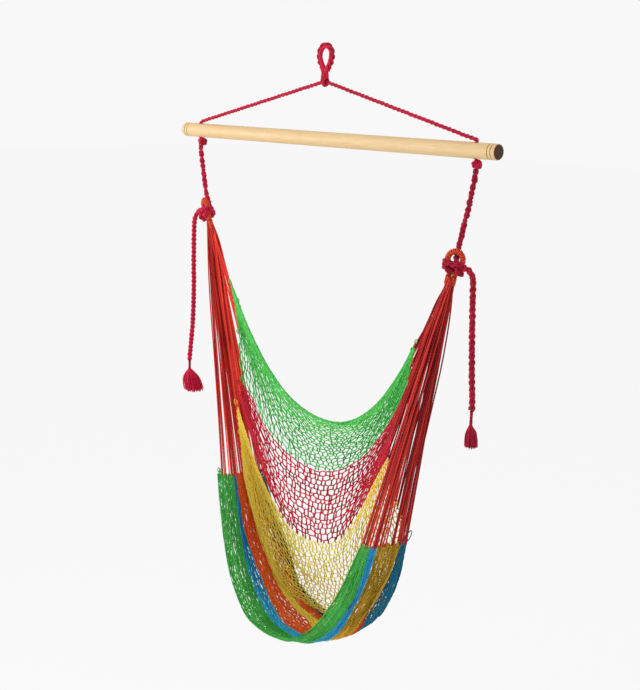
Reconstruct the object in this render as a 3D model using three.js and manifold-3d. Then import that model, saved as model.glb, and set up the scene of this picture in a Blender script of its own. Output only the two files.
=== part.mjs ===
// A hammock chair: a rope eye, a wooden spreader bar hung from it by one rope, and a woven sling.
// Millimetres, +Z up. The origin is the inside top of the hanging eye, where a hook carries the chair.
// +X runs along the bar, and the sitter faces -Y.
import * as THREE from 'three';
import { mergeVertices } from 'three/addons/utils/BufferGeometryUtils.js';
import Module from 'manifold-3d';

const wasm = await Module();
wasm.setup();

// Gap that touching pieces keep, and how far a cutter runs past what it cuts.
const CLEARANCE = 0.3;
const OVERRUN = 2;

// Ropes, by diameter.
const EYE_ROPE = 13;
const HANGER_ROPE = 9;
const DROP_ROPE = 10;
const TAIL_ROPE = 13;
const ROPE_SIDES = 8;

// Hanging eye: a loop of rope whose two legs are bound together at the throat.
const EYE_WIDTH = 35.6;
const EYE_OPENING_HEIGHT = 41;
const EYE_LEG_LENGTH = 3;

// Binding round the legs of the eye, and the small bight below it that the hanger rope runs through.
const THROAT_TOP_RADIUS = 13.6;
const THROAT_FOOT_RADIUS = 9.8;
const THROAT_HEIGHT = 14.4;
const THROAT_TURNS = 4;
const THROAT_SEGMENTS = 16;
const BIGHT_THICKNESS = 5.5;
const BIGHT_WIDTH = 12;
const BIGHT_PLAY = 0.35;

// Spreader bar, its holes, ring grooves and end discs.
const BAR_LENGTH = 915;
const BAR_DIAMETER = 32;
const BAR_DROP = 190.5;
const BAR_SEGMENTS = 20;
const BAR_EDGE_CHAMFER = 1.2;
const HOLE_INSET = 53.5;
const HOLE_PLAY = 0.5;
const HOLE_CHAMFER = 4;
const HOLE_SEGMENTS = 16;
const GROOVE_INSETS = [11, 19];
const GROOVE_WIDTH = 2.6;
const GROOVE_DEPTH = 0.9;
const END_DISC_DIAMETER = 29;
const END_DISC_THICKNESS = 2;
const SPIGOT_DIAMETER = 14;
const SPIGOT_LENGTH = 9;

// How far the bar hangs to the right of the eye, because the rope has slipped through the bight.
const BAR_SHIFT = 5;

// Hanger rope: one rope from hole to hole, bent over the bight and at the bar.
const BAR_BEND_RADIUS = 6;
const BAR_BEND_DEPTH = 0.5;
const CROWN_RADIUS = 25;

// Stopper knots under the bar.
const STOPPER_WIDTH = 25;
const STOPPER_HEIGHT = 20;
const STOPPER_ROPE = 9;
const STOPPER_CROSS_SHARE = 0.86;
const STOPPER_LEANS = [20, -26];
const STOPPER_CROSS_ANGLE = 60;

// Where each sling eye hangs: how far inwards from the rope's hole and how far below the bar's centre.
const SLING_EYE_INSET = { left: 11, right: 33 };
const SLING_EYE_DROP = { left: 160, right: 196 };
const SLING_EYE_LEAN = { left: 22, right: 12.5 };
const SLING_EYE_TURN = { left: -25, right: 30 };

// Sling eye: a thread-wrapped loop, and the whipping that gathers the end strings under it.
const LOOP_CORD = 9.5;
const LOOP_WIDTH = 31;
const LOOP_HEIGHT = 55;
const WHIPPING_HEIGHT = 20;
const WHIPPING_TOP_RADIUS = 11.2;
const WHIPPING_FOOT_RADIUS = 10;
const WHIPPING_TURNS = 5;
const WHIPPING_SEGMENTS = 12;

// Hitch knot that ties each drop rope to its sling eye.
const HITCH_WIDTH = 46;
const HITCH_DEPTH = 36;
const HITCH_HEIGHT = 31;
const HITCH_DROP = 36;
const HITCH_TURN_ROPE = 10;
const HITCH_CORE_SHARES = { width: 0.44, depth: 0.47 };
const HITCH_TURN_SHARES = { lowDrop: 0.4, highLift: 0.5, highWidth: 0.9 };
const HITCH_LEANS = [15, 18];

// Heights of the drop rope's last three points above the loop's top, as shares of the hitch's drop.
const DROP_END_SHARES = [0.45, 0, -0.75];

// Tails: the spare ends of the rope, each with a binding and a tassel.
const TAIL_ROOT_REACH = { left: 21.4, right: 19.8 };
const TAIL_BINDING_DIAMETER = 9;
const TAIL_BINDING_HEIGHT = { left: 26, right: 34 };
const BINDING_TURNS = 4;
const BINDING_SEGMENTS = 10;
const TASSEL_HEIGHT = { left: 54, right: 46 };
const TASSEL_RADIUS = { left: 25, right: 16 };
const TASSEL_LEAN = { left: 14, right: 5 };
const TASSEL_SEGMENTS = 14;

// Net: the woven bed of the sling, as a lattice of diamonds on a hung surface.
const NET_TOP_WIDTH = 566;
const NET_TOP_DROP = 564;
const NET_HEIGHT = 764;
const NET_DEPTH = 152;
const NET_RIGHT_DROP = 55;
const NET_STRAND = 4.5;
const NET_THICKNESS = 4;
const NET_ROW_GAP = 0.25;
const NET_COLUMNS = 10;
const ROWS_PER_BAND = 3;
const SMALLEST_HOLE_SHARE = 0.25;
const EDGE_STRAND_SHARE = 1.5;
const DIRECTION_STEP_SHARE = 0.25;

// The lines between the bands, from the front edge to the top of the back, as shares:
// end half width of the top width, end drop and middle drop of the height below the top corners,
// end depth and middle depth of the seat's depth. Depth counts backwards from the bar.
const BORDER_SHARES = [
  { endWidth: 0.403, endDrop: 0.575, middleDrop: 0.944, endDepth: -0.586, middleDepth: -0.987 },
  { endWidth: 0.389, endDrop: 0.593, middleDrop: 0.976, endDepth: -0.362, middleDepth: -0.625 },
  { endWidth: 0.392, endDrop: 0.597, middleDrop: 0.992, endDepth: -0.184, middleDepth: -0.408 },
  { endWidth: 0.396, endDrop: 0.601, middleDrop: 1.000, endDepth: -0.026, middleDepth: -0.197 },
  { endWidth: 0.399, endDrop: 0.605, middleDrop: 1.000, endDepth: 0.132, middleDepth: 0.000 },
  { endWidth: 0.405, endDrop: 0.609, middleDrop: 0.990, endDepth: 0.276, middleDepth: 0.211 },
  { endWidth: 0.408, endDrop: 0.611, middleDrop: 0.967, endDepth: 0.414, middleDepth: 0.395 },
  { endWidth: 0.415, endDrop: 0.349, middleDrop: 0.702, endDepth: -0.112, middleDepth: 0.066 },
  { endWidth: 0.475, endDrop: 0.105, middleDrop: 0.486, endDepth: -0.026, middleDepth: 0.132 },
  { endWidth: 0.500, endDrop: 0.000, middleDrop: 0.329, endDepth: -0.033, middleDepth: 0.092 },
];

// How the net's rows curve from the middle to the ends, and how much wider the middle columns are.
const CURVE_SHARES = { frontPower: 2.7, backPower: 2.2, columnSpread: 1.2 };

// End strings that run from each whipping to the tips of the net.
const STRING_DIAMETER = 5;
const STRING_SIDES = 6;
const STRING_HEAD_HEIGHT = 16;
const STRING_HEAD_RADIUS = 9.6;
const STRING_SPREAD_SHARE = 0.6;

// Colour, roughness and metalness of each finish.
const FINISHES = {
  crimson_rope: { color: 0xb81c3c, roughness: 0.85, metalness: 0 },
  pale_wood: { color: 0xe8c98f, roughness: 0.5, metalness: 0 },
  dark_wood: { color: 0x4a3224, roughness: 0.6, metalness: 0 },
  orange_thread: { color: 0xdd6238, roughness: 0.8, metalness: 0 },
  red_string: { color: 0xc42a28, roughness: 0.85, metalness: 0 },
  green_cord: { color: 0x35a352, roughness: 0.85, metalness: 0 },
  blue_cord: { color: 0x1682b4, roughness: 0.85, metalness: 0 },
  orange_red_cord: { color: 0xdb4a30, roughness: 0.85, metalness: 0 },
  yellow_cord: { color: 0xe8bb2a, roughness: 0.85, metalness: 0 },
  teal_cord: { color: 0x0f6c8c, roughness: 0.85, metalness: 0 },
  crimson_cord: { color: 0xc02c48, roughness: 0.85, metalness: 0 },
};

// The woven bands, from the front edge to the top of the back.
const NET_BANDS = [
  ['net_green_front', 'green_cord'],
  ['net_blue', 'blue_cord'],
  ['net_orange_red', 'orange_red_cord'],
  ['net_yellow_front', 'yellow_cord'],
  ['net_red', 'orange_red_cord'],
  ['net_teal', 'teal_cord'],
  ['net_yellow_back', 'yellow_cord'],
  ['net_crimson', 'crimson_cord'],
  ['net_green_back', 'green_cord'],
];

// Places that follow from the sizes above.
const EYE_TOP = EYE_ROPE / 2;
const THROAT_TOP = -(EYE_OPENING_HEIGHT + EYE_LEG_LENGTH);
const THROAT_FOOT = THROAT_TOP - THROAT_HEIGHT;
const BIGHT_MEAN_RADIUS = (HANGER_ROPE + BIGHT_THICKNESS) / 2 + BIGHT_PLAY;
const PIVOT_Z = THROAT_FOOT - CLEARANCE - BIGHT_MEAN_RADIUS - BIGHT_THICKNESS / 2;
const BAR_RADIUS = BAR_DIAMETER / 2;
const HOLE_X = BAR_LENGTH / 2 - HOLE_INSET;
const holeX = (side) => side * HOLE_X + BAR_SHIFT;
const BAR_TOP = -BAR_DROP + BAR_RADIUS;
const BAR_FOOT = -BAR_DROP - BAR_RADIUS;
const WOOD_LENGTH = BAR_LENGTH - 2 * (END_DISC_THICKNESS + CLEARANCE);
const STOPPER_TOP = BAR_FOOT - CLEARANCE;
const STOPPER_Z = STOPPER_TOP - STOPPER_HEIGHT / 2;
const SLING_PIVOT_Z = STOPPER_TOP - STOPPER_HEIGHT - CLEARANCE - DROP_ROPE / 2;
const NET_ROWS = ROWS_PER_BAND * NET_BANDS.length;
const LAST_ROW = NET_ROWS + 1;
const LAST_COLUMN = 2 * NET_COLUMNS;
const SIDES = [['left', -1], ['right', 1]];

// How finely the knots' cores and turns are drawn.
const KNOT_SEGMENTS = [10, 6];
const TURN_SEGMENTS = [6, 12];

// Geometry helpers.

const radians = THREE.MathUtils.degToRad;

// Merges the vertices that a three.js shape repeats and drops triangles with no area.
function closedGeometry(geometry) {
  const bare = new THREE.BufferGeometry();
  bare.setAttribute('position', geometry.getAttribute('position').clone());
  if (geometry.index) bare.setIndex(geometry.index.clone());
  const merged = mergeVertices(bare, CLEARANCE / 1000);
  const kept = [];
  const index = merged.index.array;
  for (let t = 0; t < index.length; t += 3) {
    const [a, b, c] = [index[t], index[t + 1], index[t + 2]];
    if (a !== b && b !== c && c !== a) kept.push(a, b, c);
  }
  merged.setIndex(kept);
  return merged;
}

function toSolid(geometry) {
  const merged = closedGeometry(geometry);
  return new wasm.Manifold(new wasm.Mesh({
    numProp: 3,
    vertProperties: new Float32Array(merged.getAttribute('position').array),
    triVerts: new Uint32Array(merged.index.array),
  }));
}

function fromSolid(solid) {
  const mesh = solid.getMesh();
  const geometry = new THREE.BufferGeometry();
  geometry.setAttribute('position', new THREE.BufferAttribute(mesh.vertProperties, 3));
  geometry.setIndex(new THREE.BufferAttribute(mesh.triVerts, 1));
  return geometry;
}

function joined(geometries) {
  return fromSolid(geometries.map(toSolid).reduce((whole, piece) => whole.add(piece)));
}

// Cuts a piece and keeps its main body, without the slivers that a cut may leave beside it.
function cut(geometry, cutters) {
  const whole = cutters.map(toSolid).reduce((rest, cutter) => rest.subtract(cutter), toSolid(geometry));
  const bodies = whole.decompose().sort((a, b) => b.volume() - a.volume());
  return fromSolid(bodies[0]);
}

function moved(geometry, x, y, z) {
  return geometry.clone().translate(x, y, z);
}

// A lathe about Z from [radius, height] pairs.
function turned(profile, segments) {
  const points = profile.map(([radius, height]) => new THREE.Vector2(radius, height));
  return new THREE.LatheGeometry(points, segments).rotateX(Math.PI / 2);
}

// A lathe about X from [radius, x] pairs.
function turnedAlongX(profile, segments) {
  return turned(profile, segments).rotateY(Math.PI / 2);
}

// A smooth route whose rings stand at its own points, close together only where it bends.
class Route extends THREE.CatmullRomCurve3 {
  constructor(points) {
    super(points, false, 'centripetal');
  }

  getUtoTmapping(share) {
    return share;
  }
}

// A rope with a round section along a smooth route, with a flat face at each end.
function ropeAlong(points, diameter, stepsPerSpan = 1, sides = ROPE_SIDES) {
  const section = new THREE.Shape();
  for (let side = 0; side < sides; side += 1) {
    const angle = (2 * Math.PI * side) / sides;
    const [x, y] = [Math.cos(angle) * diameter / 2, Math.sin(angle) * diameter / 2];
    if (side === 0) section.moveTo(x, y);
    else section.lineTo(x, y);
  }
  const steps = (points.length - 1) * stepsPerSpan;
  return new THREE.ExtrudeGeometry(section, { steps, extrudePath: new Route(points), bevelEnabled: false });
}

// Places on one turn of thread, and how far it bulges on a thick neck and on a thin one.
const TURN_SHARES = [0.3, 0.7, 1];
const NECK_BULGE_SHARE = 0.06;
const BINDING_BULGE_SHARE = 0.12;

// The profile of a bound neck: round turns of thread from the top to the foot.
function boundProfile(topRadius, footRadius, height, turns, bulgeShare = NECK_BULGE_SHARE) {
  const profile = [[0, 0], [topRadius, 0]];
  for (let turn = 0; turn < turns; turn += 1) {
    for (const share of TURN_SHARES) {
      const along = (turn + share) / turns;
      const radius = THREE.MathUtils.lerp(topRadius, footRadius, along);
      const bulge = 1 - bulgeShare + bulgeShare * Math.sin(Math.PI * share);
      profile.push([radius * bulge, -height * along]);
    }
  }
  profile.push([0, -height]);
  return profile;
}

// Half the outline of an eye, as shares of its half width and its height. The legs' shares across are
// of the distance that a leg stands out.
const EYE_LEG_SHARES = [[1, 0], [1, 0.05], [1.02, 0.11]];
const EYE_OUTLINE_SHARES = [[0.70, 0.26], [0.93, 0.44], [1, 0.62], [0.88, 0.81], [0.52, 0.95]];

// The route of an eye in the XZ plane: up one leg, round the top and down the other leg.
function eyeRoute(halfWidth, topZ, footZ, legX) {
  const height = topZ - footZ;
  const half = EYE_LEG_SHARES.map(([across, up]) => [legX * across, height * up]);
  for (const [across, up] of EYE_OUTLINE_SHARES) half.push([halfWidth * across, height * up]);
  const right = half.map(([x, z]) => new THREE.Vector3(x, 0, footZ + z));
  const left = half.map(([x, z]) => new THREE.Vector3(-x, 0, footZ + z));
  return [...left, new THREE.Vector3(0, 0, topZ), ...right.reverse()];
}

// Hanging parts.

function hangingEye() {
  const route = eyeRoute(EYE_WIDTH / 2, EYE_TOP, THROAT_TOP + CLEARANCE, EYE_ROPE / 2 + CLEARANCE);
  return ropeAlong(route, EYE_ROPE, 2);
}

function eyeThroat() {
  const profile = boundProfile(THROAT_TOP_RADIUS, THROAT_FOOT_RADIUS, THROAT_HEIGHT, THROAT_TURNS);
  return turned(profile.reverse(), THROAT_SEGMENTS);
}

// A ring about X with an oval section, so the bent hanger rope can turn in it.
function eyeBight() {
  const section = [];
  const points = 10;
  for (let point = 0; point <= points; point += 1) {
    const angle = (2 * Math.PI * point) / points;
    section.push([
      BIGHT_MEAN_RADIUS + Math.cos(angle) * BIGHT_THICKNESS / 2,
      Math.sin(angle) * BIGHT_WIDTH / 2,
    ]);
  }
  return turnedAlongX(section, THROAT_SEGMENTS);
}

// Places on the crown of the hanger rope, as shares of its arc; past 1 the rope runs straight on.
const CROWN_SHARES = [2, 1, 0.5];
const BAR_BEND_POINTS = 4;

// Half of the hanger rope, from a hole of the bar to the crown, as outward and upward places.
function hangerHalf(hole) {
  const bendX = hole - BAR_BEND_RADIUS;
  const bendZ = BAR_TOP - BAR_BEND_DEPTH;
  const slope = Math.atan2(PIVOT_Z - bendZ - BAR_BEND_RADIUS, bendX);
  const half = [
    [hole, BAR_FOOT],
    [hole, -BAR_DROP],
  ];
  for (let point = 0; point <= BAR_BEND_POINTS; point += 1) {
    const angle = (Math.PI / 2 - slope) * (point / BAR_BEND_POINTS);
    half.push([bendX + BAR_BEND_RADIUS * Math.cos(angle), bendZ + BAR_BEND_RADIUS * Math.sin(angle)]);
  }
  const crownZ = PIVOT_Z - CROWN_RADIUS;
  for (const share of CROWN_SHARES) {
    const angle = Math.min(slope * share, slope);
    const beyond = Math.max(share - 1, 0) * CROWN_RADIUS;
    half.push([
      CROWN_RADIUS * Math.sin(angle) + beyond * Math.cos(slope),
      crownZ + CROWN_RADIUS * Math.cos(angle) - beyond * Math.sin(slope),
    ]);
  }
  return half;
}

function hangerRope() {
  const right = hangerHalf(holeX(1)).map(([x, z]) => new THREE.Vector3(x, 0, z));
  const left = hangerHalf(-holeX(-1)).map(([x, z]) => new THREE.Vector3(-x, 0, z));
  return ropeAlong([...left, new THREE.Vector3(0, 0, PIVOT_Z), ...right.reverse()], HANGER_ROPE);
}

// The bar's profile from the left socket to the right one, with two ring grooves near each end.
function barProfile() {
  const halfLength = WOOD_LENGTH / 2;
  const half = [
    [0, halfLength - SPIGOT_LENGTH - CLEARANCE],
    [SPIGOT_DIAMETER / 2 + CLEARANCE, halfLength - SPIGOT_LENGTH - CLEARANCE],
    [SPIGOT_DIAMETER / 2 + CLEARANCE, halfLength],
    [BAR_RADIUS - BAR_EDGE_CHAMFER, halfLength],
    [BAR_RADIUS, halfLength - BAR_EDGE_CHAMFER],
  ];
  for (const inset of GROOVE_INSETS) {
    const middle = BAR_LENGTH / 2 - inset;
    half.push([BAR_RADIUS, middle + GROOVE_WIDTH / 2]);
    half.push([BAR_RADIUS - GROOVE_DEPTH, middle]);
    half.push([BAR_RADIUS, middle - GROOVE_WIDTH / 2]);
  }
  return [...half.map(([radius, x]) => [radius, -x]), ...half.reverse()];
}

function ropeHole() {
  const radius = HANGER_ROPE / 2 + HOLE_PLAY;
  const mouth = radius + HOLE_CHAMFER;
  const end = BAR_RADIUS + OVERRUN;
  return turned([
    [0, -end],
    [mouth + OVERRUN, -end],
    [radius, -BAR_RADIUS + HOLE_CHAMFER],
    [radius, BAR_RADIUS - HOLE_CHAMFER],
    [mouth + OVERRUN, end],
    [0, end],
  ], HOLE_SEGMENTS);
}

function spreaderBar() {
  const bar = turnedAlongX(barProfile(), BAR_SEGMENTS);
  return cut(bar, [moved(ropeHole(), -HOLE_X, 0, 0), moved(ropeHole(), HOLE_X, 0, 0)]);
}

// A dark disc that covers the bar's end, on a spigot in the bar. The spigot points to -X.
function endDisc() {
  const radius = END_DISC_DIAMETER / 2;
  return turnedAlongX([
    [0, -SPIGOT_LENGTH],
    [SPIGOT_DIAMETER / 2, -SPIGOT_LENGTH],
    [SPIGOT_DIAMETER / 2, 0],
    [radius, 0],
    [radius, END_DISC_THICKNESS / 2],
    [radius - END_DISC_THICKNESS / 2, END_DISC_THICKNESS],
    [0, END_DISC_THICKNESS],
  ], BAR_SEGMENTS);
}

// A ring of rope about Z, for the turns of a knot.
function ropeTurn(outerWidth, rope) {
  return new THREE.TorusGeometry(outerWidth / 2 - rope / 2, rope / 2, ...TURN_SEGMENTS);
}

// The stopper knot: a flat turn above two crossed turns, with its top and foot cut level.
function stopperKnot() {
  const rope = STOPPER_ROPE;
  const upper = moved(ropeTurn(STOPPER_WIDTH, rope), 0, 0, STOPPER_HEIGHT / 2 - rope / 2);
  const crossWidth = STOPPER_WIDTH * STOPPER_CROSS_SHARE;
  const low = -STOPPER_HEIGHT / 2 + rope / 2;
  const crossed = STOPPER_LEANS.map((lean, turn) => {
    const ring = ropeTurn(crossWidth, rope).rotateX(radians(lean));
    return moved(ring.rotateZ(radians(turn * STOPPER_CROSS_ANGLE)), 0, 0, low / 2);
  });
  const core = new THREE.SphereGeometry(STOPPER_HEIGHT / 2, ...KNOT_SEGMENTS).rotateX(Math.PI / 2);
  const knot = toSolid(joined([core, upper, ...crossed]));
  const limit = new THREE.BoxGeometry(2 * STOPPER_WIDTH, 2 * STOPPER_WIDTH, STOPPER_HEIGHT);
  return fromSolid(knot.intersect(toSolid(limit)));
}

// Sling parts, made in the frame of each sling eye: its outer top is the origin there.

// The place of a sling eye: at its drop, leaning towards the middle and turned about its own length.
function slingEyeFrame(name, side) {
  const place = new THREE.Matrix4().makeTranslation(
    holeX(side) - side * SLING_EYE_INSET[name], 0, -BAR_DROP - SLING_EYE_DROP[name]);
  return place.multiply(new THREE.Matrix4().makeRotationY(side * radians(SLING_EYE_LEAN[name])));
}

function slingEyeTurn(name) {
  return radians(SLING_EYE_TURN[name]);
}

function loopRoute() {
  return eyeRoute(LOOP_WIDTH / 2, -LOOP_CORD / 2, -LOOP_HEIGHT + CLEARANCE, LOOP_CORD / 2 + CLEARANCE);
}

function slingEye(name) {
  return ropeAlong(loopRoute(), LOOP_CORD, 2).rotateZ(slingEyeTurn(name));
}

function neckWhipping() {
  const profile = boundProfile(WHIPPING_TOP_RADIUS, WHIPPING_FOOT_RADIUS, WHIPPING_HEIGHT, WHIPPING_TURNS);
  return moved(turned(profile.reverse(), WHIPPING_SEGMENTS), 0, 0, -LOOP_HEIGHT);
}

// Points of the sling in the chair's frame, from points in the frame of a sling eye.
function slingPoint(name, side, x, y, z) {
  return new THREE.Vector3(x, y, z).applyMatrix4(slingEyeFrame(name, side));
}

// The drop rope: from its pivot under the stopper knot, down behind the loop and into the hitch.
function dropRouteEnd(name, side) {
  const behind = (LOOP_CORD + DROP_ROPE) / 2 + CLEARANCE;
  const turn = slingEyeTurn(name);
  const [x, y] = [-Math.sin(turn) * behind, Math.cos(turn) * behind];
  return DROP_END_SHARES.map((share) => slingPoint(name, side, x, y, share * HITCH_DROP));
}

function dropRoute(name, side) {
  const pivot = new THREE.Vector3(holeX(side), 0, SLING_PIVOT_Z);
  const [above, beside, end] = dropRouteEnd(name, side);
  const middle = new THREE.Vector3().lerpVectors(pivot, above, 0.5);
  return [pivot, middle, above, beside, end];
}

function dropRope(name, side) {
  const rope = ropeAlong(dropRoute(name, side), DROP_ROPE, 2);
  const ball = new THREE.SphereGeometry(DROP_ROPE / 2, ...KNOT_SEGMENTS);
  return joined([rope, moved(ball, holeX(side), 0, SLING_PIVOT_Z)]);
}

// The tail's root: where the spare rope leaves the hitch, along X.
function tailRoot(name, side) {
  const hitch = slingPoint(name, side, 0, 0, -HITCH_DROP);
  return hitch.add(new THREE.Vector3(side * TAIL_ROOT_REACH[name], 0, 0));
}

// A cutter along X for the socket in which the tail's root turns.
function tailSocket(name, side) {
  const root = tailRoot(name, side);
  const length = HITCH_WIDTH;
  const radius = TAIL_ROPE / 2 + CLEARANCE;
  const socket = new THREE.CylinderGeometry(radius, radius, length, HOLE_SEGMENTS).rotateZ(Math.PI / 2);
  return moved(socket, root.x + side * (length / 2 - CLEARANCE), root.y, root.z);
}

// The hitch: a core with two turns round the loop, cut to fit the loop, the drop rope and the tail.
function hitchKnot(name, side) {
  const { width, depth } = HITCH_CORE_SHARES;
  const { lowDrop, highLift, highWidth } = HITCH_TURN_SHARES;
  const [lowLean, highLean] = HITCH_LEANS.map(radians);
  const core = new THREE.SphereGeometry(1, ...KNOT_SEGMENTS).rotateX(Math.PI / 2);
  core.scale(HITCH_WIDTH * width, HITCH_DEPTH * depth, HITCH_HEIGHT / 2);
  const ring = ropeTurn(HITCH_WIDTH, HITCH_TURN_ROPE).scale(1, HITCH_DEPTH / HITCH_WIDTH, 1);
  const lift = HITCH_HEIGHT / 2 - HITCH_TURN_ROPE / 2;
  const low = moved(ring.clone().rotateY(lowLean), 0, 0, -lift * lowDrop);
  const high = moved(ring.clone().scale(highWidth, 1, 1).rotateX(highLean), 0, 0, lift * highLift);
  const lump = joined([core, low, high]);
  const placed = moved(lump, 0, 0, -HITCH_DROP).rotateZ(slingEyeTurn(name));
  const toLocal = slingEyeFrame(name, side).invert();
  const loop = ropeAlong(loopRoute(), LOOP_CORD + 2 * CLEARANCE, 2).rotateZ(slingEyeTurn(name));
  const drop = ropeAlong(dropRoute(name, side), DROP_ROPE + 2 * CLEARANCE, 2).applyMatrix4(toLocal);
  return cut(placed, [loop, drop, tailSocket(name, side).applyMatrix4(toLocal)]);
}

// Tails hang beside the sling. Each route is a list of [outwards, down] from its root.
const TAIL_ROUTES = {
  left: [[0, 0], [4, 0], [10, -1.6], [16, -6.5], [21, -14], [24, -24], [25.5, -45], [26, -85],
    [26, -130], [25, -170], [25, -205], [26, -240], [28, -277], [32, -312], [36, -345], [38, -358],
    [38, -370]],
  right: [[0, 0], [4, 0], [13, -1.6], [21, -6.5], [27, -14], [29.6, -24], [30.5, -45], [32, -80],
    [34, -120], [36, -160], [38, -190], [40, -220], [43, -250], [44, -272], [44, -284]],
};

function tailRoute(name, side) {
  const root = tailRoot(name, side);
  return TAIL_ROUTES[name].map(([out, down]) => root.clone().add(new THREE.Vector3(side * out, 0, down)));
}

function tailFoot(name, side) {
  return tailRoute(name, side).at(-1);
}

function tailBinding(name) {
  const radius = TAIL_BINDING_DIAMETER / 2;
  const height = TAIL_BINDING_HEIGHT[name];
  const profile = boundProfile(radius, radius, height, BINDING_TURNS, BINDING_BULGE_SHARE);
  return turned(profile.reverse(), BINDING_SEGMENTS);
}

// A tassel: yarns that swell below the binding and flare to their cut ends, which lean to one side.
const TASSEL_PROFILE_SHARES = [[0.30, 0], [0.42, 0.12], [0.50, 0.35], [0.66, 0.62], [0.88, 0.85], [1, 1]];

function tassel(name) {
  const radius = TASSEL_RADIUS[name];
  const height = TASSEL_HEIGHT[name];
  const skirt = TASSEL_PROFILE_SHARES.map(([out, down]) => [radius * out, -height * down]);
  const upright = turned([[0, 0], ...skirt, [0, -height]].reverse(), TASSEL_SEGMENTS);
  const lean = new THREE.Matrix4().makeShear(0, 0, 0, 0, -Math.tan(radians(TASSEL_LEAN[name])), 0);
  return upright.applyMatrix4(lean);
}

// The net.

function borderLine(across, depth, drop) {
  const points = BORDER_SHARES.map((border) => new THREE.Vector3(
    across ? border[across] * NET_TOP_WIDTH : 0,
    border[depth] * NET_DEPTH,
    -NET_TOP_DROP - border[drop] * NET_HEIGHT));
  return new THREE.CatmullRomCurve3(points, false, 'centripetal');
}

const NET_END_LINE = borderLine('endWidth', 'endDepth', 'endDrop');
const NET_MIDDLE_LINE = borderLine(null, 'middleDepth', 'middleDrop');

// A point of the hung surface: u from the left end to the right, v from the front edge to the back.
function netPoint(u, v) {
  const inward = 2 * u - 1;
  const { frontPower, backPower, columnSpread } = CURVE_SHARES;
  const across = inward * (columnSpread - (columnSpread - 1) * inward * inward);
  const end = NET_END_LINE.getPoint(v);
  const middle = NET_MIDDLE_LINE.getPoint(v);
  const power = THREE.MathUtils.lerp(frontPower, backPower, v);
  return new THREE.Vector3(
    across * end.x,
    THREE.MathUtils.lerp(middle.y, end.y, across * across),
    THREE.MathUtils.lerp(middle.z, end.z, Math.abs(across) ** power) - across * NET_RIGHT_DROP / 2);
}

// The surface at a lattice place: its point, its inward normal and its direction from row to row.
function netPlace(column, row) {
  const [u, v] = [column / LAST_COLUMN, row / LAST_ROW];
  const step = DIRECTION_STEP_SHARE / LAST_ROW;
  const [u0, u1] = [Math.max(u - step, 0), Math.min(u + step, 1)];
  const [v0, v1] = [Math.max(v - step, 0), Math.min(v + step, 1)];
  const along = netPoint(u1, v).sub(netPoint(u0, v)).normalize();
  const up = netPoint(u, v1).sub(netPoint(u, v0)).normalize();
  const normal = new THREE.Vector3().crossVectors(along, up).normalize();
  return { point: netPoint(u, v), normal, up };
}

// Collects cells of a lattice shell, each a ring round a hole or a solid cell, and closes its rim.
class LatticeShell {
  constructor(shiftOf) {
    this.shiftOf = shiftOf;
    this.positions = [];
    this.triangles = [];
    this.vertices = new Map();
    this.orders = [];
    this.rim = new Map();
  }

  // The index of the inner vertex at a lattice place; the outer one follows it.
  vertex(column, row, isCorner) {
    const key = `${column},${row}`;
    if (!this.vertices.has(key)) {
      const { point, normal, up } = netPlace(column, row);
      if (isCorner) point.addScaledVector(up, this.shiftOf(row));
      this.vertices.set(key, this.positions.length / 3);
      this.orders.push(row * LAST_COLUMN + column);
      for (const depth of [NET_THICKNESS / 2, -NET_THICKNESS / 2]) {
        this.positions.push(...point.clone().addScaledVector(normal, depth).toArray());
      }
    }
    return this.vertices.get(key);
  }

  // Two triangles on the inner side and two on the outer side.
  doubleFace(a, b, c) {
    this.triangles.push(a, b, c, a + 1, c + 1, b + 1);
  }

  // Both sides of a shared edge split their walls along the same diagonal.
  wall(a, b) {
    if (this.order(a) < this.order(b)) this.triangles.push(a, a + 1, b + 1, a, b + 1, b);
    else this.triangles.push(a, a + 1, b, b, a + 1, b + 1);
  }

  order(index) {
    return this.orders[index / 2];
  }

  markEdge(a, b) {
    if (!this.rim.delete(`${b},${a}`)) this.rim.set(`${a},${b}`, [a, b]);
  }

  // A cell given by its corner places and the share of its size that its hole takes.
  cell(centre, corners, holeShare) {
    const outer = corners.map(([column, row]) => this.vertex(column, row, true));
    outer.forEach((corner, n) => this.markEdge(corner, outer[(n + 1) % outer.length]));
    if (holeShare < SMALLEST_HOLE_SHARE) {
      for (let n = 1; n + 1 < outer.length; n += 1) this.doubleFace(outer[0], outer[n], outer[n + 1]);
      return;
    }
    const inner = corners.map(([column, row]) => this.vertex(
      THREE.MathUtils.lerp(centre[0], column, holeShare),
      THREE.MathUtils.lerp(centre[1], row, holeShare), false));
    outer.forEach((corner, n) => {
      const next = (n + 1) % outer.length;
      this.doubleFace(corner, outer[next], inner[next]);
      this.doubleFace(corner, inner[next], inner[n]);
      this.wall(inner[next], inner[n]);
    });
  }

  geometry() {
    for (const [a, b] of this.rim.values()) this.wall(a, b);
    const geometry = new THREE.BufferGeometry();
    geometry.setAttribute('position', new THREE.Float32BufferAttribute(this.positions, 3));
    geometry.setIndex(this.triangles);
    return geometry;
  }
}

// The share of a diamond that its hole takes, so that its strands have the named width.
function diamondHoleShare(column, row) {
  const at = (c, r) => netPlace(c, r).point;
  const half = at(column + 1, row).distanceTo(at(column - 1, row)) / 2;
  const tall = at(column, row + 1).distanceTo(at(column, row - 1)) / 2;
  return 1 - NET_STRAND / 2 / (half * tall / Math.hypot(half, tall));
}

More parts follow.
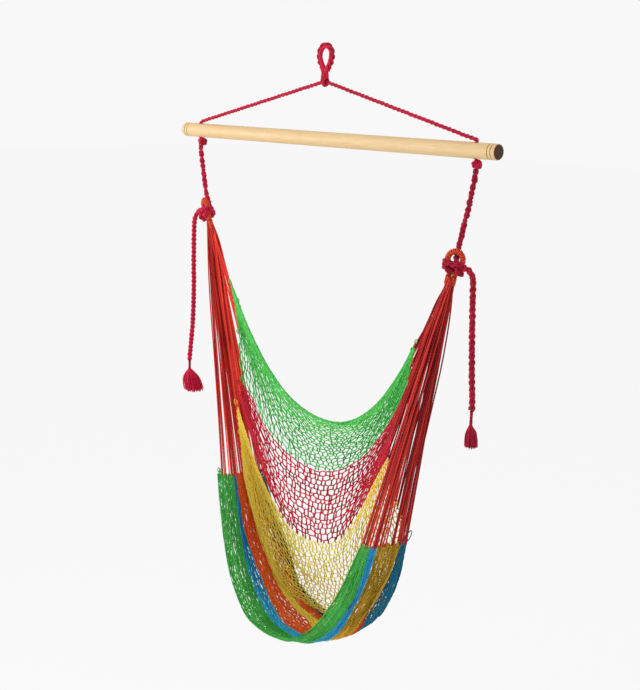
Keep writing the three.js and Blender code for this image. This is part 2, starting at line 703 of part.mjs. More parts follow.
// Half diamonds and quarter diamonds that make the front edge and the top edge straight.
function addEdgeCells(shell, row, inside) {
  const order = (corners) => (inside > row ? corners : corners.reverse());
  for (let column = 0; column <= LAST_COLUMN; column += 2) {
    const [first, last] = [Math.max(column - 1, 0), Math.min(column + 1, LAST_COLUMN)];
    const corners = order([[first, row], [last, row], [column, inside]]);
    const middle = [(first + last + column) / 3, (2 * row + inside) / 3];
    const step = netPlace(column, row).point.distanceTo(netPlace(column, inside).point);
    const whole = last - first === 2;
    shell.cell(middle, corners, whole ? 1 - EDGE_STRAND_SHARE * NET_STRAND / step : 0);
  }
}

// One band of the net: its rows of diamonds, and the edge cells on the first and last band.
function netBand(band) {
  const firstRow = ROWS_PER_BAND * band + 1;
  const lastRow = firstRow + ROWS_PER_BAND - 1;
  const shiftOf = (row) => {
    if (row <= firstRow && band > 0) return NET_ROW_GAP;
    if (row >= lastRow && band < NET_BANDS.length - 1) return -NET_ROW_GAP;
    return 0;
  };
  const shell = new LatticeShell(shiftOf);
  for (let row = firstRow; row <= lastRow; row += 1) {
    for (let column = 2 - (row % 2); column < LAST_COLUMN; column += 2) {
      const corners = [[column - 1, row], [column, row - 1], [column + 1, row], [column, row + 1]];
      shell.cell([column, row], corners, diamondHoleShare(column, row));
    }
  }
  if (band === 0) addEdgeCells(shell, 0, 1);
  if (band === NET_BANDS.length - 1) addEdgeCells(shell, LAST_ROW, NET_ROWS);
  return shell.geometry();
}

// How far before a tip of the net a string's flat end stops, so that it meets the tip with a gap.
function stringSetback(tip, normal, direction, edges) {
  const rates = edges.map((corner) => {
    const along = corner.clone().sub(tip).normalize().dot(direction);
    return along < 0 ? -along / Math.sqrt(1 - along * along) : 0;
  });
  const lean = Math.abs(normal.dot(direction));
  return CLEARANCE + lean * NET_THICKNESS / 2 + Math.max(...rates) * STRING_DIAMETER / 2;
}

// End strings: one to each tip of the net, gathered in a head under the whipping.
function endStrings(name, side) {
  const [column, next] = side < 0 ? [0, 1] : [LAST_COLUMN, LAST_COLUMN - 1];
  const headMiddle = -LOOP_HEIGHT - WHIPPING_HEIGHT - CLEARANCE - STRING_HEAD_HEIGHT / 2;
  const head = new THREE.CylinderGeometry(
    STRING_HEAD_RADIUS, STRING_HEAD_RADIUS, STRING_HEAD_HEIGHT, WHIPPING_SEGMENTS).rotateX(Math.PI / 2);
  const pieces = [moved(head, 0, 0, headMiddle).applyMatrix4(slingEyeFrame(name, side))];
  const middle = slingPoint(name, side, 0, 0, headMiddle);
  const [front, back] = [0, LAST_ROW].map((row) => netPlace(column, row).point);
  const axis = front.clone().add(back).multiplyScalar(1 / 2).sub(middle).normalize();
  const across = back.clone().sub(front).projectOnPlane(axis).normalize();
  for (let row = 1; row <= NET_ROWS; row += 2) {
    const corner = { 1: 0, [NET_ROWS]: LAST_ROW }[row];
    const { point: tip, normal } = netPlace(column, corner ?? row);
    const spread = (2 * row / NET_ROWS - 1) * STRING_SPREAD_SHARE * STRING_HEAD_RADIUS;
    const start = middle.clone().addScaledVector(across, spread);
    const direction = tip.clone().sub(start).normalize();
    const beside = corner === undefined
      ? [[next, row - 1], [next, row + 1]] : [[column, row], [next, corner]];
    const edges = beside.map(([across, up]) => netPlace(across, up).point);
    const end = tip.clone().addScaledVector(direction, -stringSetback(tip, normal, direction, edges));
    pieces.push(ropeAlong([start, end], STRING_DIAMETER, 1, STRING_SIDES));
  }
  return joined(pieces);
}

// The scene graph.

function part(name, finish, geometry) {
  const closed = closedGeometry(geometry);
  closed.computeVertexNormals();
  const mesh = new THREE.Mesh(closed, new THREE.MeshStandardMaterial({ name: finish, ...FINISHES[finish] }));
  mesh.name = name;
  return mesh;
}

function placed(mesh, x, y, z) {
  mesh.position.set(x, y, z);
  return mesh;
}

function hangingGroup() {
  const group = new THREE.Group();
  group.add(part('hanging_eye', 'crimson_rope', hangingEye()));
  group.add(placed(part('eye_throat', 'crimson_rope', eyeThroat()), 0, 0, THROAT_TOP));
  group.add(placed(part('eye_bight', 'crimson_rope', eyeBight()), 0, 0, PIVOT_Z));
  return group;
}

function spreaderGroup() {
  const group = new THREE.Group();
  group.add(part('hanger_rope', 'crimson_rope', hangerRope()));
  group.add(placed(part('spreader_bar', 'pale_wood', spreaderBar()), BAR_SHIFT, 0, -BAR_DROP));
  for (const [name, side] of SIDES) {
    const disc = part(`end_disc_${name}`, 'dark_wood', endDisc());
    disc.rotation.y = side < 0 ? Math.PI : 0;
    group.add(placed(disc, BAR_SHIFT + side * (WOOD_LENGTH / 2 + CLEARANCE), 0, -BAR_DROP));
    const knot = part(`stopper_knot_${name}`, 'crimson_rope', stopperKnot());
    group.add(placed(knot, holeX(side), 0, STOPPER_Z));
  }
  return group;
}

function slingEyeGroup(name, side) {
  const group = new THREE.Group();
  slingEyeFrame(name, side).decompose(group.position, group.quaternion, group.scale);
  group.add(part(`sling_eye_${name}`, 'orange_thread', slingEye(name)));
  group.add(part(`hitch_knot_${name}`, 'crimson_rope', hitchKnot(name, side)));
  group.add(part(`neck_whipping_${name}`, 'orange_thread', neckWhipping()));
  return group;
}

function tailGroup(name, side) {
  const group = new THREE.Group();
  group.add(part(`tail_rope_${name}`, 'crimson_rope', ropeAlong(tailRoute(name, side), TAIL_ROPE)));
  const foot = tailFoot(name, side);
  const bindingTop = foot.z - CLEARANCE;
  const binding = part(`tail_binding_${name}`, 'crimson_rope', tailBinding(name));
  group.add(placed(binding, foot.x, foot.y, bindingTop));
  const tasselTop = bindingTop - TAIL_BINDING_HEIGHT[name] - CLEARANCE;
  group.add(placed(part(`tassel_${name}`, 'crimson_rope', tassel(name)), foot.x, foot.y, tasselTop));
  return group;
}

function netGroup() {
  const group = new THREE.Group();
  NET_BANDS.forEach(([name, finish], band) => group.add(part(name, finish, netBand(band))));
  return group;
}

const chair = new THREE.Group();
chair.name = 'hammock_chair';
chair.add(hangingGroup(), spreaderGroup(), netGroup());
for (const [name, side] of SIDES) {
  chair.add(slingEyeGroup(name, side), tailGroup(name, side));
  chair.add(part(`drop_rope_${name}`, 'crimson_rope', dropRope(name, side)));
  chair.add(part(`end_strings_${name}`, 'red_string', endStrings(name, side)));
}

export default chair;
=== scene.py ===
"""Looks of a hammock chair: plaited ropes, a turned bar, wrapped sling eyes and a knotless net.

Lengths are in millimetres until a mesh is made, and the places repeat those of the CAD source.
"""

from __future__ import annotations

import logging
import math
from collections.abc import Callable, Iterable, Sequence
from dataclasses import dataclass, field
from enum import Enum
from typing import ClassVar

import bmesh
import bpy
import numpy as np
from mathutils import Matrix, Vector

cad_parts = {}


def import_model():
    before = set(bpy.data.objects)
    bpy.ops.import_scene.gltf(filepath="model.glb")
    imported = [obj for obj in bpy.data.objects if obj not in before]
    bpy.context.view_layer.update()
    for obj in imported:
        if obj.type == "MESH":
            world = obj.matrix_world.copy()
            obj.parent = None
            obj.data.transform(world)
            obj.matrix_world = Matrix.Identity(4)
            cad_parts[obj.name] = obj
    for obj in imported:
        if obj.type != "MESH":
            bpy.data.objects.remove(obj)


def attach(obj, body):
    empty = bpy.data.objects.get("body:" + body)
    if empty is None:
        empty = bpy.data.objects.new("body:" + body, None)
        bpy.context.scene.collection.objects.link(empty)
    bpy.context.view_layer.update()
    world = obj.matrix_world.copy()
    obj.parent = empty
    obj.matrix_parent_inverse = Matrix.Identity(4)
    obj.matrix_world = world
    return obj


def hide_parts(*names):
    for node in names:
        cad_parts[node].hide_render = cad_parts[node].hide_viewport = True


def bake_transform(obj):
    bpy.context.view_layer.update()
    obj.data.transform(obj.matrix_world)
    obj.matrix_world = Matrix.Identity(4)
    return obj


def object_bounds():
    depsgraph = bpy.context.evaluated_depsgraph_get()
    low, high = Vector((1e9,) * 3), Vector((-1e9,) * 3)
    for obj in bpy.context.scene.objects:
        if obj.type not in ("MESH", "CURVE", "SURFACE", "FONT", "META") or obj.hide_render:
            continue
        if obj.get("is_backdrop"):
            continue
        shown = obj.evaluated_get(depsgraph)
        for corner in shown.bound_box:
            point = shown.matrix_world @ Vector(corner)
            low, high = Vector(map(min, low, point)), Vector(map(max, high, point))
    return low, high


LOG = logging.getLogger("hammock_chair")
MM = 0.001
TURN = 2 * math.pi
GOLDEN_TURN = math.pi * (3 - math.sqrt(5))

Array = np.ndarray
Colour = tuple[int, int, int]
SIDES = (("left", -1), ("right", 1))


class Slot(Enum):
    """The record's material slots."""

    CRIMSON_ROPE = "crimson_rope"
    PALE_WOOD = "pale_wood"
    DARK_WOOD = "dark_wood"
    ORANGE_THREAD = "orange_thread"
    RED_STRING = "red_string"
    GREEN = "green_cord"
    BLUE = "blue_cord"
    ORANGE_RED = "orange_red_cord"
    YELLOW = "yellow_cord"
    TEAL = "teal_cord"
    CRIMSON = "crimson_cord"


class Body(Enum):
    """The bodies that pieces ride on."""

    EYE = "eye"
    THROAT = "throat"
    BIGHT = "bight"
    SPREADER = "spreader"
    SLING = "sling"
    TAIL_LEFT = "tail_left"
    TAIL_RIGHT = "tail_right"


class Axis(Enum):
    """The axis that a piece is turned about."""

    ALONG = "X"
    UPRIGHT = "Z"


# Node graphs.


class Term:
    """A socket that takes part in an expression."""

    def __init__(self, graph: Graph, socket: bpy.types.NodeSocket) -> None:
        """Keeps the graph that new Math nodes go to, and the socket."""
        self.graph = graph
        self.socket = socket

    def math(self, operation: str, *others: Term | float) -> Term:
        """Adds a Math node with this term first.

        Args:
            operation: The Math node's operation.
            others: The other operands.

        Returns:
            The node's result.
        """
        return self.graph.math(operation, self, *others)

    def __add__(self, other: Term | float) -> Term:
        """self + other."""
        return self.math("ADD", other)

    def __sub__(self, other: Term | float) -> Term:
        """self - other."""
        return self.math("SUBTRACT", other)

    def __mul__(self, other: Term | float) -> Term:
        """self * other."""
        return self.math("MULTIPLY", other)

    def __truediv__(self, other: Term | float) -> Term:
        """self / other."""
        return self.math("DIVIDE", other)

    def __pow__(self, other: Term | float) -> Term:
        """self ** other."""
        return self.math("POWER", other)

    def __rsub__(self, other: float) -> Term:
        """other - self."""
        return self.graph.math("SUBTRACT", other, self)

    __radd__ = __add__
    __rmul__ = __mul__


Value = Term | float | int | bool | str | tuple


class Graph:
    """Adds nodes to a node tree and links them."""

    def __init__(self, tree: bpy.types.NodeTree) -> None:
        """Keeps the tree."""
        self.tree = tree

    def node(self, kind: str, settings: dict[str, object] | None = None,
             inputs: dict[str | int, Value] | None = None) -> bpy.types.Node:
        """Adds a node of any type.

        Args:
            kind: The node's type.
            settings: Its properties, set before the sockets.
            inputs: Values or links by socket name or index.

        Returns:
            The node.
        """
        node = self.tree.nodes.new(kind)
        for name, value in (settings or {}).items():
            setattr(node, name, value)
        for key, value in (inputs or {}).items():
            if isinstance(value, Term):
                self.tree.links.new(value.socket, node.inputs[key])
            else:
                node.inputs[key].default_value = value
        return node

    def term(self, kind: str, settings: dict[str, object] | None = None,
             inputs: dict[str | int, Value] | None = None, output: str | int = 0) -> Term:
        """Adds a node and wraps one of its outputs."""
        return Term(self, self.node(kind, settings, inputs).outputs[output])

    def math(self, operation: str, *operands: Term | float) -> Term:
        """Adds a Math node over the operands."""
        return self.term("ShaderNodeMath", {"operation": operation}, dict(enumerate(operands)))


class ShaderGraph(Graph):
    """A new material's graph around one Principled shader."""

    COAT_ROUGHNESS = 0.35

    def __init__(self, name: str, roughness: float, sheen: float = 0.0, coat: float = 0.0,
                 specular: float = 0.5) -> None:
        """Makes the material with its constant values.

        Args:
            name: The material's name.
            roughness: Roughness of the whole surface.
            sheen: Sheen weight of the fibres.
            coat: Coat weight of the whole surface.
            specular: Specular level of the whole surface.
        """
        self.material = bpy.data.materials.new(name)
        self.material.use_nodes = True
        super().__init__(self.material.node_tree)
        self.tree.nodes.clear()
        self.shader = self.node("ShaderNodeBsdfPrincipled", inputs={
            "Roughness": roughness, "Sheen Weight": sheen, "Coat Weight": coat,
            "Coat Roughness": self.COAT_ROUGHNESS, "Specular IOR Level": specular})
        self.node("ShaderNodeOutputMaterial", inputs={"Surface": Term(self, self.shader.outputs["BSDF"])})

    def set(self, name: str, term: Term) -> None:
        """Links a term to one of the shader's sockets."""
        self.tree.links.new(term.socket, self.shader.inputs[name])

    def attribute(self, name: str, output: str = "Fac") -> Term:
        """One of the mesh's own attributes."""
        return self.term("ShaderNodeAttribute", {"attribute_name": name}, output=output)

    def place(self, scale: tuple[float, float, float] = (1.0, 1.0, 1.0)) -> Term:
        """Object coordinates, stretched by a scale."""
        place = self.term("ShaderNodeTexCoord", output="Object")
        return self.term("ShaderNodeMapping", inputs={"Vector": place, "Scale": scale})

    def noise(self, place: Term, scale: float, detail: float = 2.0) -> Term:
        """Noise from 0 to 1 at a place."""
        return self.term("ShaderNodeTexNoise", inputs={"Vector": place, "Scale": scale, "Detail": detail})

    def mix(self, share: Term | float, first: Term | Colour, second: Term | Colour) -> Term:
        """Mixes two colours.

        Args:
            share: How much of the second colour shows.
            first: A colour term, or display red, green and blue from 0 to 255.
            second: The same.

        Returns:
            The mixed colour.
        """
        ends = [value if isinstance(value, Term) else linear(value) for value in (first, second)]
        settings = {"data_type": "RGBA", "clamp_factor": True}
        return self.term("ShaderNodeMix", settings, {0: share, 6: ends[0], 7: ends[1]}, output=2)

    def bump(self, height: Term, distance: float, strength: float = 1.0) -> None:
        """Feeds a Bump node into the shader's normal.

        Args:
            height: The height from 0 to 1.
            distance: How far 1 stands out, in metres.
            strength: The node's strength.
        """
        inputs = {"Height": height, "Distance": distance, "Strength": strength}
        self.set("Normal", self.term("ShaderNodeBump", inputs=inputs))


def linear(colour: Colour) -> tuple[float, float, float, float]:
    """Display red, green and blue from 0 to 255 as linear values with alpha."""
    shares = [value / 255 for value in colour]
    return (*[share / 12.92 if share <= 0.04045 else ((share + 0.055) / 1.055) ** 2.4
              for share in shares], 1.0)


@dataclass(frozen=True)
class CordFinish:
    """Twisted cord: plies that wind round it, grooves between them darkened with painted shade, and fine
    fibres.
    """

    slot: Slot
    bright: Colour
    deep: Colour
    # groove: the colour of painted shade, laid in the grooves between the plies and on strands whose shade
    # is below 0.
    groove: Colour
    lay: float = 9.0
    plies: int = 3
    relief: float = 0.35
    sheen: float = 0.04
    roughness: float = 0.72
    specular: float = 0.22
    fibre_scale: float = 900.0
    fading_scale: float = 14.0
    tone_shares: tuple[float, float, float] = (0.72, 0.3, 0.5)
    tone_loss: float = 0.28
    groove_share: float = 0.65
    fibre_height: float = 0.35

    def material(self, name: str) -> bpy.types.Material:
        """Builds the material.

        Args:
            name: The material's name.

        Returns:
            The material, which reads the attributes around, along and shade.
        """
        graph = ShaderGraph(name, roughness=self.roughness, sheen=self.sheen, specular=self.specular)
        around = graph.attribute("around", "Vector")
        parts = graph.node("ShaderNodeSeparateXYZ", inputs={0: around})
        angle = graph.math("ARCTAN2", Term(graph, parts.outputs["Y"]), Term(graph, parts.outputs["X"]))
        along = graph.attribute("along")
        wound = angle * self.plies + along * (TURN / (self.lay * MM))
        ply = wound.math("SINE") * 0.5 + 0.5
        fibres = graph.noise(graph.place(), self.fibre_scale, 3.0)
        fading = graph.noise(graph.place(), self.fading_scale)
        by_shade, by_fibre, by_fading = self.tone_shares
        # The shade attribute holds each strand's own tone and, on many pieces, painted light and shade.
        tone = graph.attribute("shade") * by_shade + fibres * by_fibre + fading * by_fading - self.tone_loss
        colour = graph.mix(tone, self.deep, self.bright)
        # Painted shade: strands with a shade below 0 are darkened towards the groove colour.
        colour = graph.mix(graph.attribute("shade") * -1.0, colour, self.groove)
        # Painted shade: the grooves between the plies are darkened towards the groove colour.
        colour = graph.mix((1.0 - ply) ** 3.0 * self.groove_share, colour, self.groove)
        graph.set("Base Color", colour)
        graph.bump(ply + fibres * self.fibre_height, self.relief * MM, 0.8)
        return graph.material


@dataclass(frozen=True)
class WoodFinish:
    """Turned wood with grain along X."""

    slot: Slot
    pale: Colour
    grain: Colour
    warm: Colour
    roughness: float
    coat: float
    # The colour that darkens the ring grooves, by their depth.
    groove_dark: Colour = (146, 98, 44)
    line_stretch: tuple[float, float, float] = (1.2, 26.0, 26.0)
    pore_stretch: tuple[float, float, float] = (9.0, 260.0, 260.0)
    patch_stretch: tuple[float, float, float] = (2.0, 9.0, 9.0)
    line_turns: float = 26.0
    line_share: float = 0.5
    pore_share: float = 0.25
    pore_edge: float = 0.62

    def material(self, name: str) -> bpy.types.Material:
        """Builds the material: long grain lines, warmer patches, fine pores and a darker colour down in the
        ring grooves.

        Args:
            name: The material's name.

        Returns:
            The material, which reads the attribute that darkens the ring grooves.
        """
        graph = ShaderGraph(name, roughness=self.roughness, coat=self.coat)
        lines = graph.noise(graph.place(self.line_stretch), 9.0, 4.0)
        pores = graph.noise(graph.place(self.pore_stretch), 5.0, 2.0)
        patches = graph.noise(graph.place(self.patch_stretch), 2.2)
        bands = (lines * self.line_turns).math("SINE") * 0.5 + 0.5
        colour = graph.mix(bands * self.line_share + pores * self.pore_share, self.pale, self.grain)
        colour = graph.mix(patches ** 2.0 * 1.1, colour, self.warm)
        open_pores = (pores - self.pore_edge).math("GREATER_THAN", 0.0)
        colour = graph.mix(open_pores * self.pore_share, colour, self.grain)
        colour = graph.mix(graph.attribute("burn"), colour, self.groove_dark)
        graph.set("Base Color", colour)
        graph.set("Roughness", pores * 0.2 + (self.roughness - 0.1))
        graph.bump(pores + bands * 0.3, 0.08 * MM, 0.5)
        return graph.material


# The third colour of each cord finish is its painted shade, for the grooves between the plies and for
# shaded strands.
FINISHES = {
    finish.slot: finish for finish in (
        CordFinish(Slot.CRIMSON_ROPE, (236, 20, 78), (150, 0, 32), (60, 0, 14), lay=11.0, plies=5,
                   relief=0.6),
        WoodFinish(Slot.PALE_WOOD, (214, 188, 142), (198, 162, 110), (206, 170, 120), 0.6, 0.04),
        WoodFinish(Slot.DARK_WOOD, (80, 46, 22), (40, 22, 12), (64, 36, 18), 0.8, 0.0),
        CordFinish(Slot.ORANGE_THREAD, (250, 104, 60), (206, 50, 28), (104, 10, 8), lay=5.0, plies=2),
        CordFinish(Slot.RED_STRING, (255, 70, 50), (150, 0, 20), (84, 0, 10), lay=7.0),
        CordFinish(Slot.GREEN, (104, 228, 102), (16, 142, 48), (0, 78, 26), lay=7.0),
        CordFinish(Slot.BLUE, (54, 202, 250), (0, 98, 160), (0, 52, 88), lay=7.0),
        CordFinish(Slot.ORANGE_RED, (255, 116, 40), (212, 60, 8), (110, 18, 0), lay=7.0),
        CordFinish(Slot.YELLOW, (255, 236, 96), (255, 190, 30), (142, 112, 2), lay=7.0),
        CordFinish(Slot.TEAL, (4, 144, 176), (0, 86, 114), (0, 44, 58), lay=7.0),
        CordFinish(Slot.CRIMSON, (228, 38, 64), (170, 8, 34), (100, 0, 18), lay=7.0),
    )
}


class Materials:
    """Makes each finish's material once."""

    _made: ClassVar[dict[Slot, bpy.types.Material]] = {}

    @classmethod
    def of(cls, slot: Slot) -> bpy.types.Material:
        """Finds or makes the material of a slot.

        Args:
            slot: The slot.

        Returns:
            Its material.
        """
        if slot not in cls._made:
            cls._made[slot] = FINISHES[slot].material(slot.value)
        return cls._made[slot]


# Lines and threads.


def unit(vectors: Array) -> Array:
    """Vectors of length one."""
    return vectors / np.maximum(np.linalg.norm(vectors, axis=-1, keepdims=True), 1e-9)


class SmoothLine:
    """A centripetal Catmull-Rom line through points, as the CAD source draws it."""

    def __init__(self, points: Sequence[Sequence[float]] | Array) -> None:
        """Keeps the points, with one more beyond each end.

        Args:
            points: The points that the line passes.
        """
        inner = np.asarray(points, float)
        self.points = np.vstack([2 * inner[0] - inner[1], inner, 2 * inner[-1] - inner[-2]])
        self.spans = len(inner) - 1

    def at(self, shares: Array) -> Array:
        """Points at shares of the number of spans.

        Args:
            shares: Values from 0 to 1.

        Returns:
            One point for each share.
        """
        place = np.clip(np.asarray(shares, float), 0, 1) * self.spans
        span = np.minimum(place.astype(int), self.spans - 1)
        t = (place - span)[..., None]
        p0, p1, p2, p3 = (self.points[span + n] for n in range(4))
        gaps = [np.maximum(np.linalg.norm(b - a, axis=-1, keepdims=True), 1e-6) ** 0.5
                for a, b in ((p0, p1), (p1, p2), (p2, p3))]
        start = (p1 - p0) / gaps[0] - (p2 - p0) / (gaps[0] + gaps[1]) + (p2 - p1) / gaps[1]
        end = (p2 - p1) / gaps[1] - (p3 - p1) / (gaps[1] + gaps[2]) + (p3 - p2) / gaps[2]
        start, end = start * gaps[1], end * gaps[1]
        square, cube = t * t, t * t * t
        return (p1 + start * t + (-3 * p1 + 3 * p2 - 2 * start - end) * square
                + (2 * p1 - 2 * p2 + start + end) * cube)


class Route:
    """A line sampled at even steps, with a frame that doesn't twist along it."""

    def __init__(self, points: Sequence[Sequence[float]] | Array, step: float,
                 flat: Sequence[float] = (0, 1, 0)) -> None:
        """Samples the line.

        Args:
            points: The points that it passes.
            step: The distance between samples.
            flat: Roughly the direction of the rope's flat side at the start.
        """
        line = SmoothLine(points)
        dense = line.at(np.linspace(0, 1, 40 * line.spans + 1))
        run = np.concatenate([[0], np.cumsum(np.linalg.norm(np.diff(dense, axis=0), axis=1))])
        count = max(int(round(run[-1] / step)), 2) + 1
        self.run = np.linspace(0, run[-1], count)
        self.points = np.stack([np.interp(self.run, run, dense[:, axis]) for axis in range(3)], axis=1)
        self.tangent = unit(np.gradient(self.points, axis=0))
        self.flat = np.zeros_like(self.points)
        side = np.asarray(flat, float)
        for index, tangent in enumerate(self.tangent):
            side = side - tangent * (side @ tangent)
            side = side / np.linalg.norm(side)
            self.flat[index] = side
        self.across = np.cross(self.tangent, self.flat)

    @property
    def length(self) -> float:
        """The route's length."""
        return float(self.run[-1])

    def offset(self, across: Array | float, out: Array | float) -> Array:
        """The route's points, moved.

        Args:
            across: How far across the route.
            out: How far along its flat side's direction.

        Returns:
            One point for each sample.
        """
        across = np.broadcast_to(across, self.run.shape)[:, None]
        out = np.broadcast_to(out, self.run.shape)[:, None]
        return self.points + self.across * across + self.flat * out


@dataclass
class Thread:
    """One line of a piece, with its radius and its shade: its own tone, and on many pieces painted light
    and shade as well.
    """

    points: Array
    radius: Array | float
    shade: Array | float = 0.5


@dataclass(frozen=True)
class Plait:
    """A flat plait of three strands.

    It wanders from its middle line, rolls and swells in waves, whose periods are along the rope.
    """

    width: float
    strand: float
    pitch: float
    depth: float = 0.46
    roll_period: float = 0.0
    wander: float = 0.0
    seed: int = 1
    wander_periods: tuple[float, float] = (61.0, 23.0)
    sway_period: float = 47.0
    swell_period: float = 17.0
    swell: float = 0.05
    tone_step: float = 0.12

    def threads(self, route: Route, taper: float = 0.0, tone: float = 0.5) -> list[Thread]:
        """Winds the strands along a route.

        Args:
            route: The rope's middle line.
            taper: The distance at each end over which the strands draw together.
            tone: How bright the rope is drawn, with the painted shade of its side.

        Returns:
            The three strands.
        """
        draw = np.random.default_rng(self.seed)
        run = route.run
        pull = np.ones_like(run)
        if taper:
            pull = np.clip(np.minimum(run, route.length - run) / taper, 0.25, 1)
        wave = [draw.uniform(0, TURN) for _ in range(3)]
        slow, quick = self.wander_periods
        drift = np.sin(run * TURN / slow + wave[0]) + 0.6 * np.sin(run * TURN / quick + wave[1])
        roll = run * (TURN / self.roll_period if self.roll_period else 0)
        roll = roll + 0.5 * self.wander * np.sin(run * TURN / self.sway_period + wave[2])
        phase = run * TURN / self.pitch + 0.25 * self.wander * drift
        swing = (self.width - self.strand) / 2 * pull
        rise = self.depth * self.strand * pull
        threads = []
        for strand in range(3):
            turn = phase + strand * TURN / 3
            across, out = swing * np.sin(turn), rise * np.sin(2 * turn)
            middle = self.wander * 0.5 * drift
            points = route.offset(
                middle + across * np.cos(roll) - out * np.sin(roll),
                across * np.sin(roll) + out * np.cos(roll))
            swell = np.sin(run * TURN / self.swell_period + strand + wave[0])
            radius = self.strand / 2 * (1 + self.swell * swell)
            threads.append(Thread(points, radius, tone + self.tone_step * (strand - 1)))
        return threads


@dataclass(frozen=True)
class Winding:
    """Thread wound round a core in bundles of a few turns that lie side by side.

    The turns drift, swell and change in tone in waves, whose periods are in radians of the winding.
    """

    thread: float
    bundle: int = 2
    spacing: float = 1.04
    seed: int = 1
    samples: int = 14
    drift: float = 0.12
    drift_period: float = 3.7
    swell: float = 0.03
    swell_period: float = 2.3
    tone_swing: float = 0.3
    tone_period: float = 5.1
    # Painted shade: the core shows dark in the gaps between the bundles.
    core_painted_shade: float = -0.6

    def threads(self, route: Route, core: Array | float, slack: float = 0.35) -> list[Thread]:
        """Winds the bundle round a core.

        Args:
            route: The core's middle line, with samples closer than the thread's width.
            core: The core's radius, one value or one for each sample.
            slack: The gap after each bundle.

        Returns:
            The threads of the bundle, and the core.
        """
        draw = np.random.default_rng(self.seed)
        pitch = self.thread * self.spacing * self.bundle + slack
        core = np.broadcast_to(core, route.run.shape)
        turns = max(int(route.length / pitch), 1)
        angle = np.linspace(0, TURN * turns, self.samples * turns + 1)
        threads = []
        for member in range(self.bundle):
            shift = (member - (self.bundle - 1) / 2) * self.thread * self.spacing
            run = angle / TURN * pitch + pitch / 2 + shift
            drift = self.drift * self.thread * np.sin(angle / self.drift_period + member)
            run = np.clip(run + drift, 0, route.length)
            place, across, flat = (
                np.stack([np.interp(run, route.run, values[:, axis]) for axis in range(3)], axis=1)
                for values in (route.points, route.across, route.flat))
            swell = np.sin(angle / self.swell_period + 2 * member)
            radius = np.interp(run, route.run, core) * (1 + self.swell * swell)
            points = place + radius[:, None] * (
                unit(across) * np.cos(angle)[:, None] + unit(flat) * np.sin(angle)[:, None])
            shade = 0.5 + self.tone_swing * np.sin(angle / self.tone_period + draw.uniform(0, TURN))
            threads.append(Thread(points, self.thread / 2, shade))
        # The core is darkened with painted shade where it shows between the bundles.
        threads.append(Thread(route.points, core - 0.1 * self.thread, self.core_painted_shade))
        return threads


class SweepTree:
    """The Geometry Nodes tree that makes round threads along the edges of a mesh."""

    NAME = "thread_sweep"
    SEED_STEP = 7.31

    def __init__(self) -> None:
        """Builds the tree with its named inputs."""
        self.tree = bpy.data.node_groups.new(self.NAME, "GeometryNodeTree")
        self.identifiers: dict[str, str] = {}
        graph = Graph(self.tree)
        self._input("Geometry", "NodeSocketGeometry")
        for name, kind in (("Sides", "NodeSocketInt"), ("Fullness", "NodeSocketFloat"),
                           ("Stray", "NodeSocketFloat"), ("Stray Size", "NodeSocketFloat"),
                           ("Seed", "NodeSocketInt"), ("Material", "NodeSocketMaterial")):
            self._input(name, kind)
        self.tree.interface.new_socket("Geometry", in_out="OUTPUT", socket_type="NodeSocketGeometry")
        given = graph.node("NodeGroupInput")
        inputs = {name: Term(graph, given.outputs[name]) for name in self.identifiers}
        curve = graph.term("GeometryNodeMeshToCurve", inputs={"Mesh": inputs["Geometry"]})
        curve = self._strayed(graph, curve, inputs)
        length = graph.term("GeometryNodeSplineParameter", output="Length")
        curve = self._stored(graph, curve, "along", length)
        profile = graph.term("GeometryNodeCurvePrimitiveCircle", {"mode": "RADIUS"},
                             {"Resolution": inputs["Sides"], "Radius": 1.0})
        position = graph.term("GeometryNodeInputPosition")
        profile = self._stored(graph, profile, "around", position, "FLOAT_VECTOR")
        thickness = graph.term("GeometryNodeInputNamedAttribute", {"data_type": "FLOAT"},
                               {"Name": "thickness"})
        tube = graph.term("GeometryNodeCurveToMesh", inputs={
            "Curve": curve, "Profile Curve": profile, "Scale": thickness * inputs["Fullness"],
            "Fill Caps": True})
        tube = graph.term("GeometryNodeSetShadeSmooth", inputs={"Geometry": tube})
        tube = graph.term("GeometryNodeRealizeInstances", inputs={"Geometry": tube})
        tube = graph.term("GeometryNodeSetMaterial",
                          inputs={"Geometry": tube, "Material": inputs["Material"]})
        graph.node("NodeGroupOutput", inputs={"Geometry": tube})

    def _input(self, name: str, kind: str) -> None:
        """Adds a named input and keeps its identifier."""
        socket = self.tree.interface.new_socket(name, in_out="INPUT", socket_type=kind)
        self.identifiers[name] = socket.identifier

    @staticmethod
    def _stored(graph: Graph, geometry: Term, name: str, value: Term, kind: str = "FLOAT") -> Term:
        """Stores a value on the geometry's points.

        Args:
            graph: The tree's graph.
            geometry: The geometry.
            name: The attribute's name.
            value: What it holds.
            kind: Its data type.

        Returns:
            The geometry with the attribute.
        """
        settings = {"data_type": kind, "domain": "POINT"}
        return graph.term("GeometryNodeStoreNamedAttribute", settings,
                          {"Geometry": geometry, "Name": name, "Value": value})

    @classmethod
    def _strayed(cls, graph: Graph, curve: Term, inputs: dict[str, Term]) -> Term:
        """Moves the points a little by noise with a fixed seed.

        Args:
            graph: The tree's graph.
            curve: The curves.
            inputs: The tree's inputs by name.

        Returns:
            The moved curves.
        """
        noise = graph.term("ShaderNodeTexNoise", {"noise_dimensions": "4D"}, {
            "Scale": inputs["Stray Size"], "W": inputs["Seed"] * cls.SEED_STEP, "Detail": 1.0}, output=1)
        centred = graph.term("ShaderNodeVectorMath", {"operation": "SUBTRACT"},
                             {0: noise, 1: (0.5, 0.5, 0.5)})
        moved = graph.node("ShaderNodeVectorMath", {"operation": "SCALE"},
                           {0: centred, "Scale": inputs["Stray"]})
        return graph.term("GeometryNodeSetPosition",
                          inputs={"Geometry": curve, "Offset": Term(graph, moved.outputs[0])})


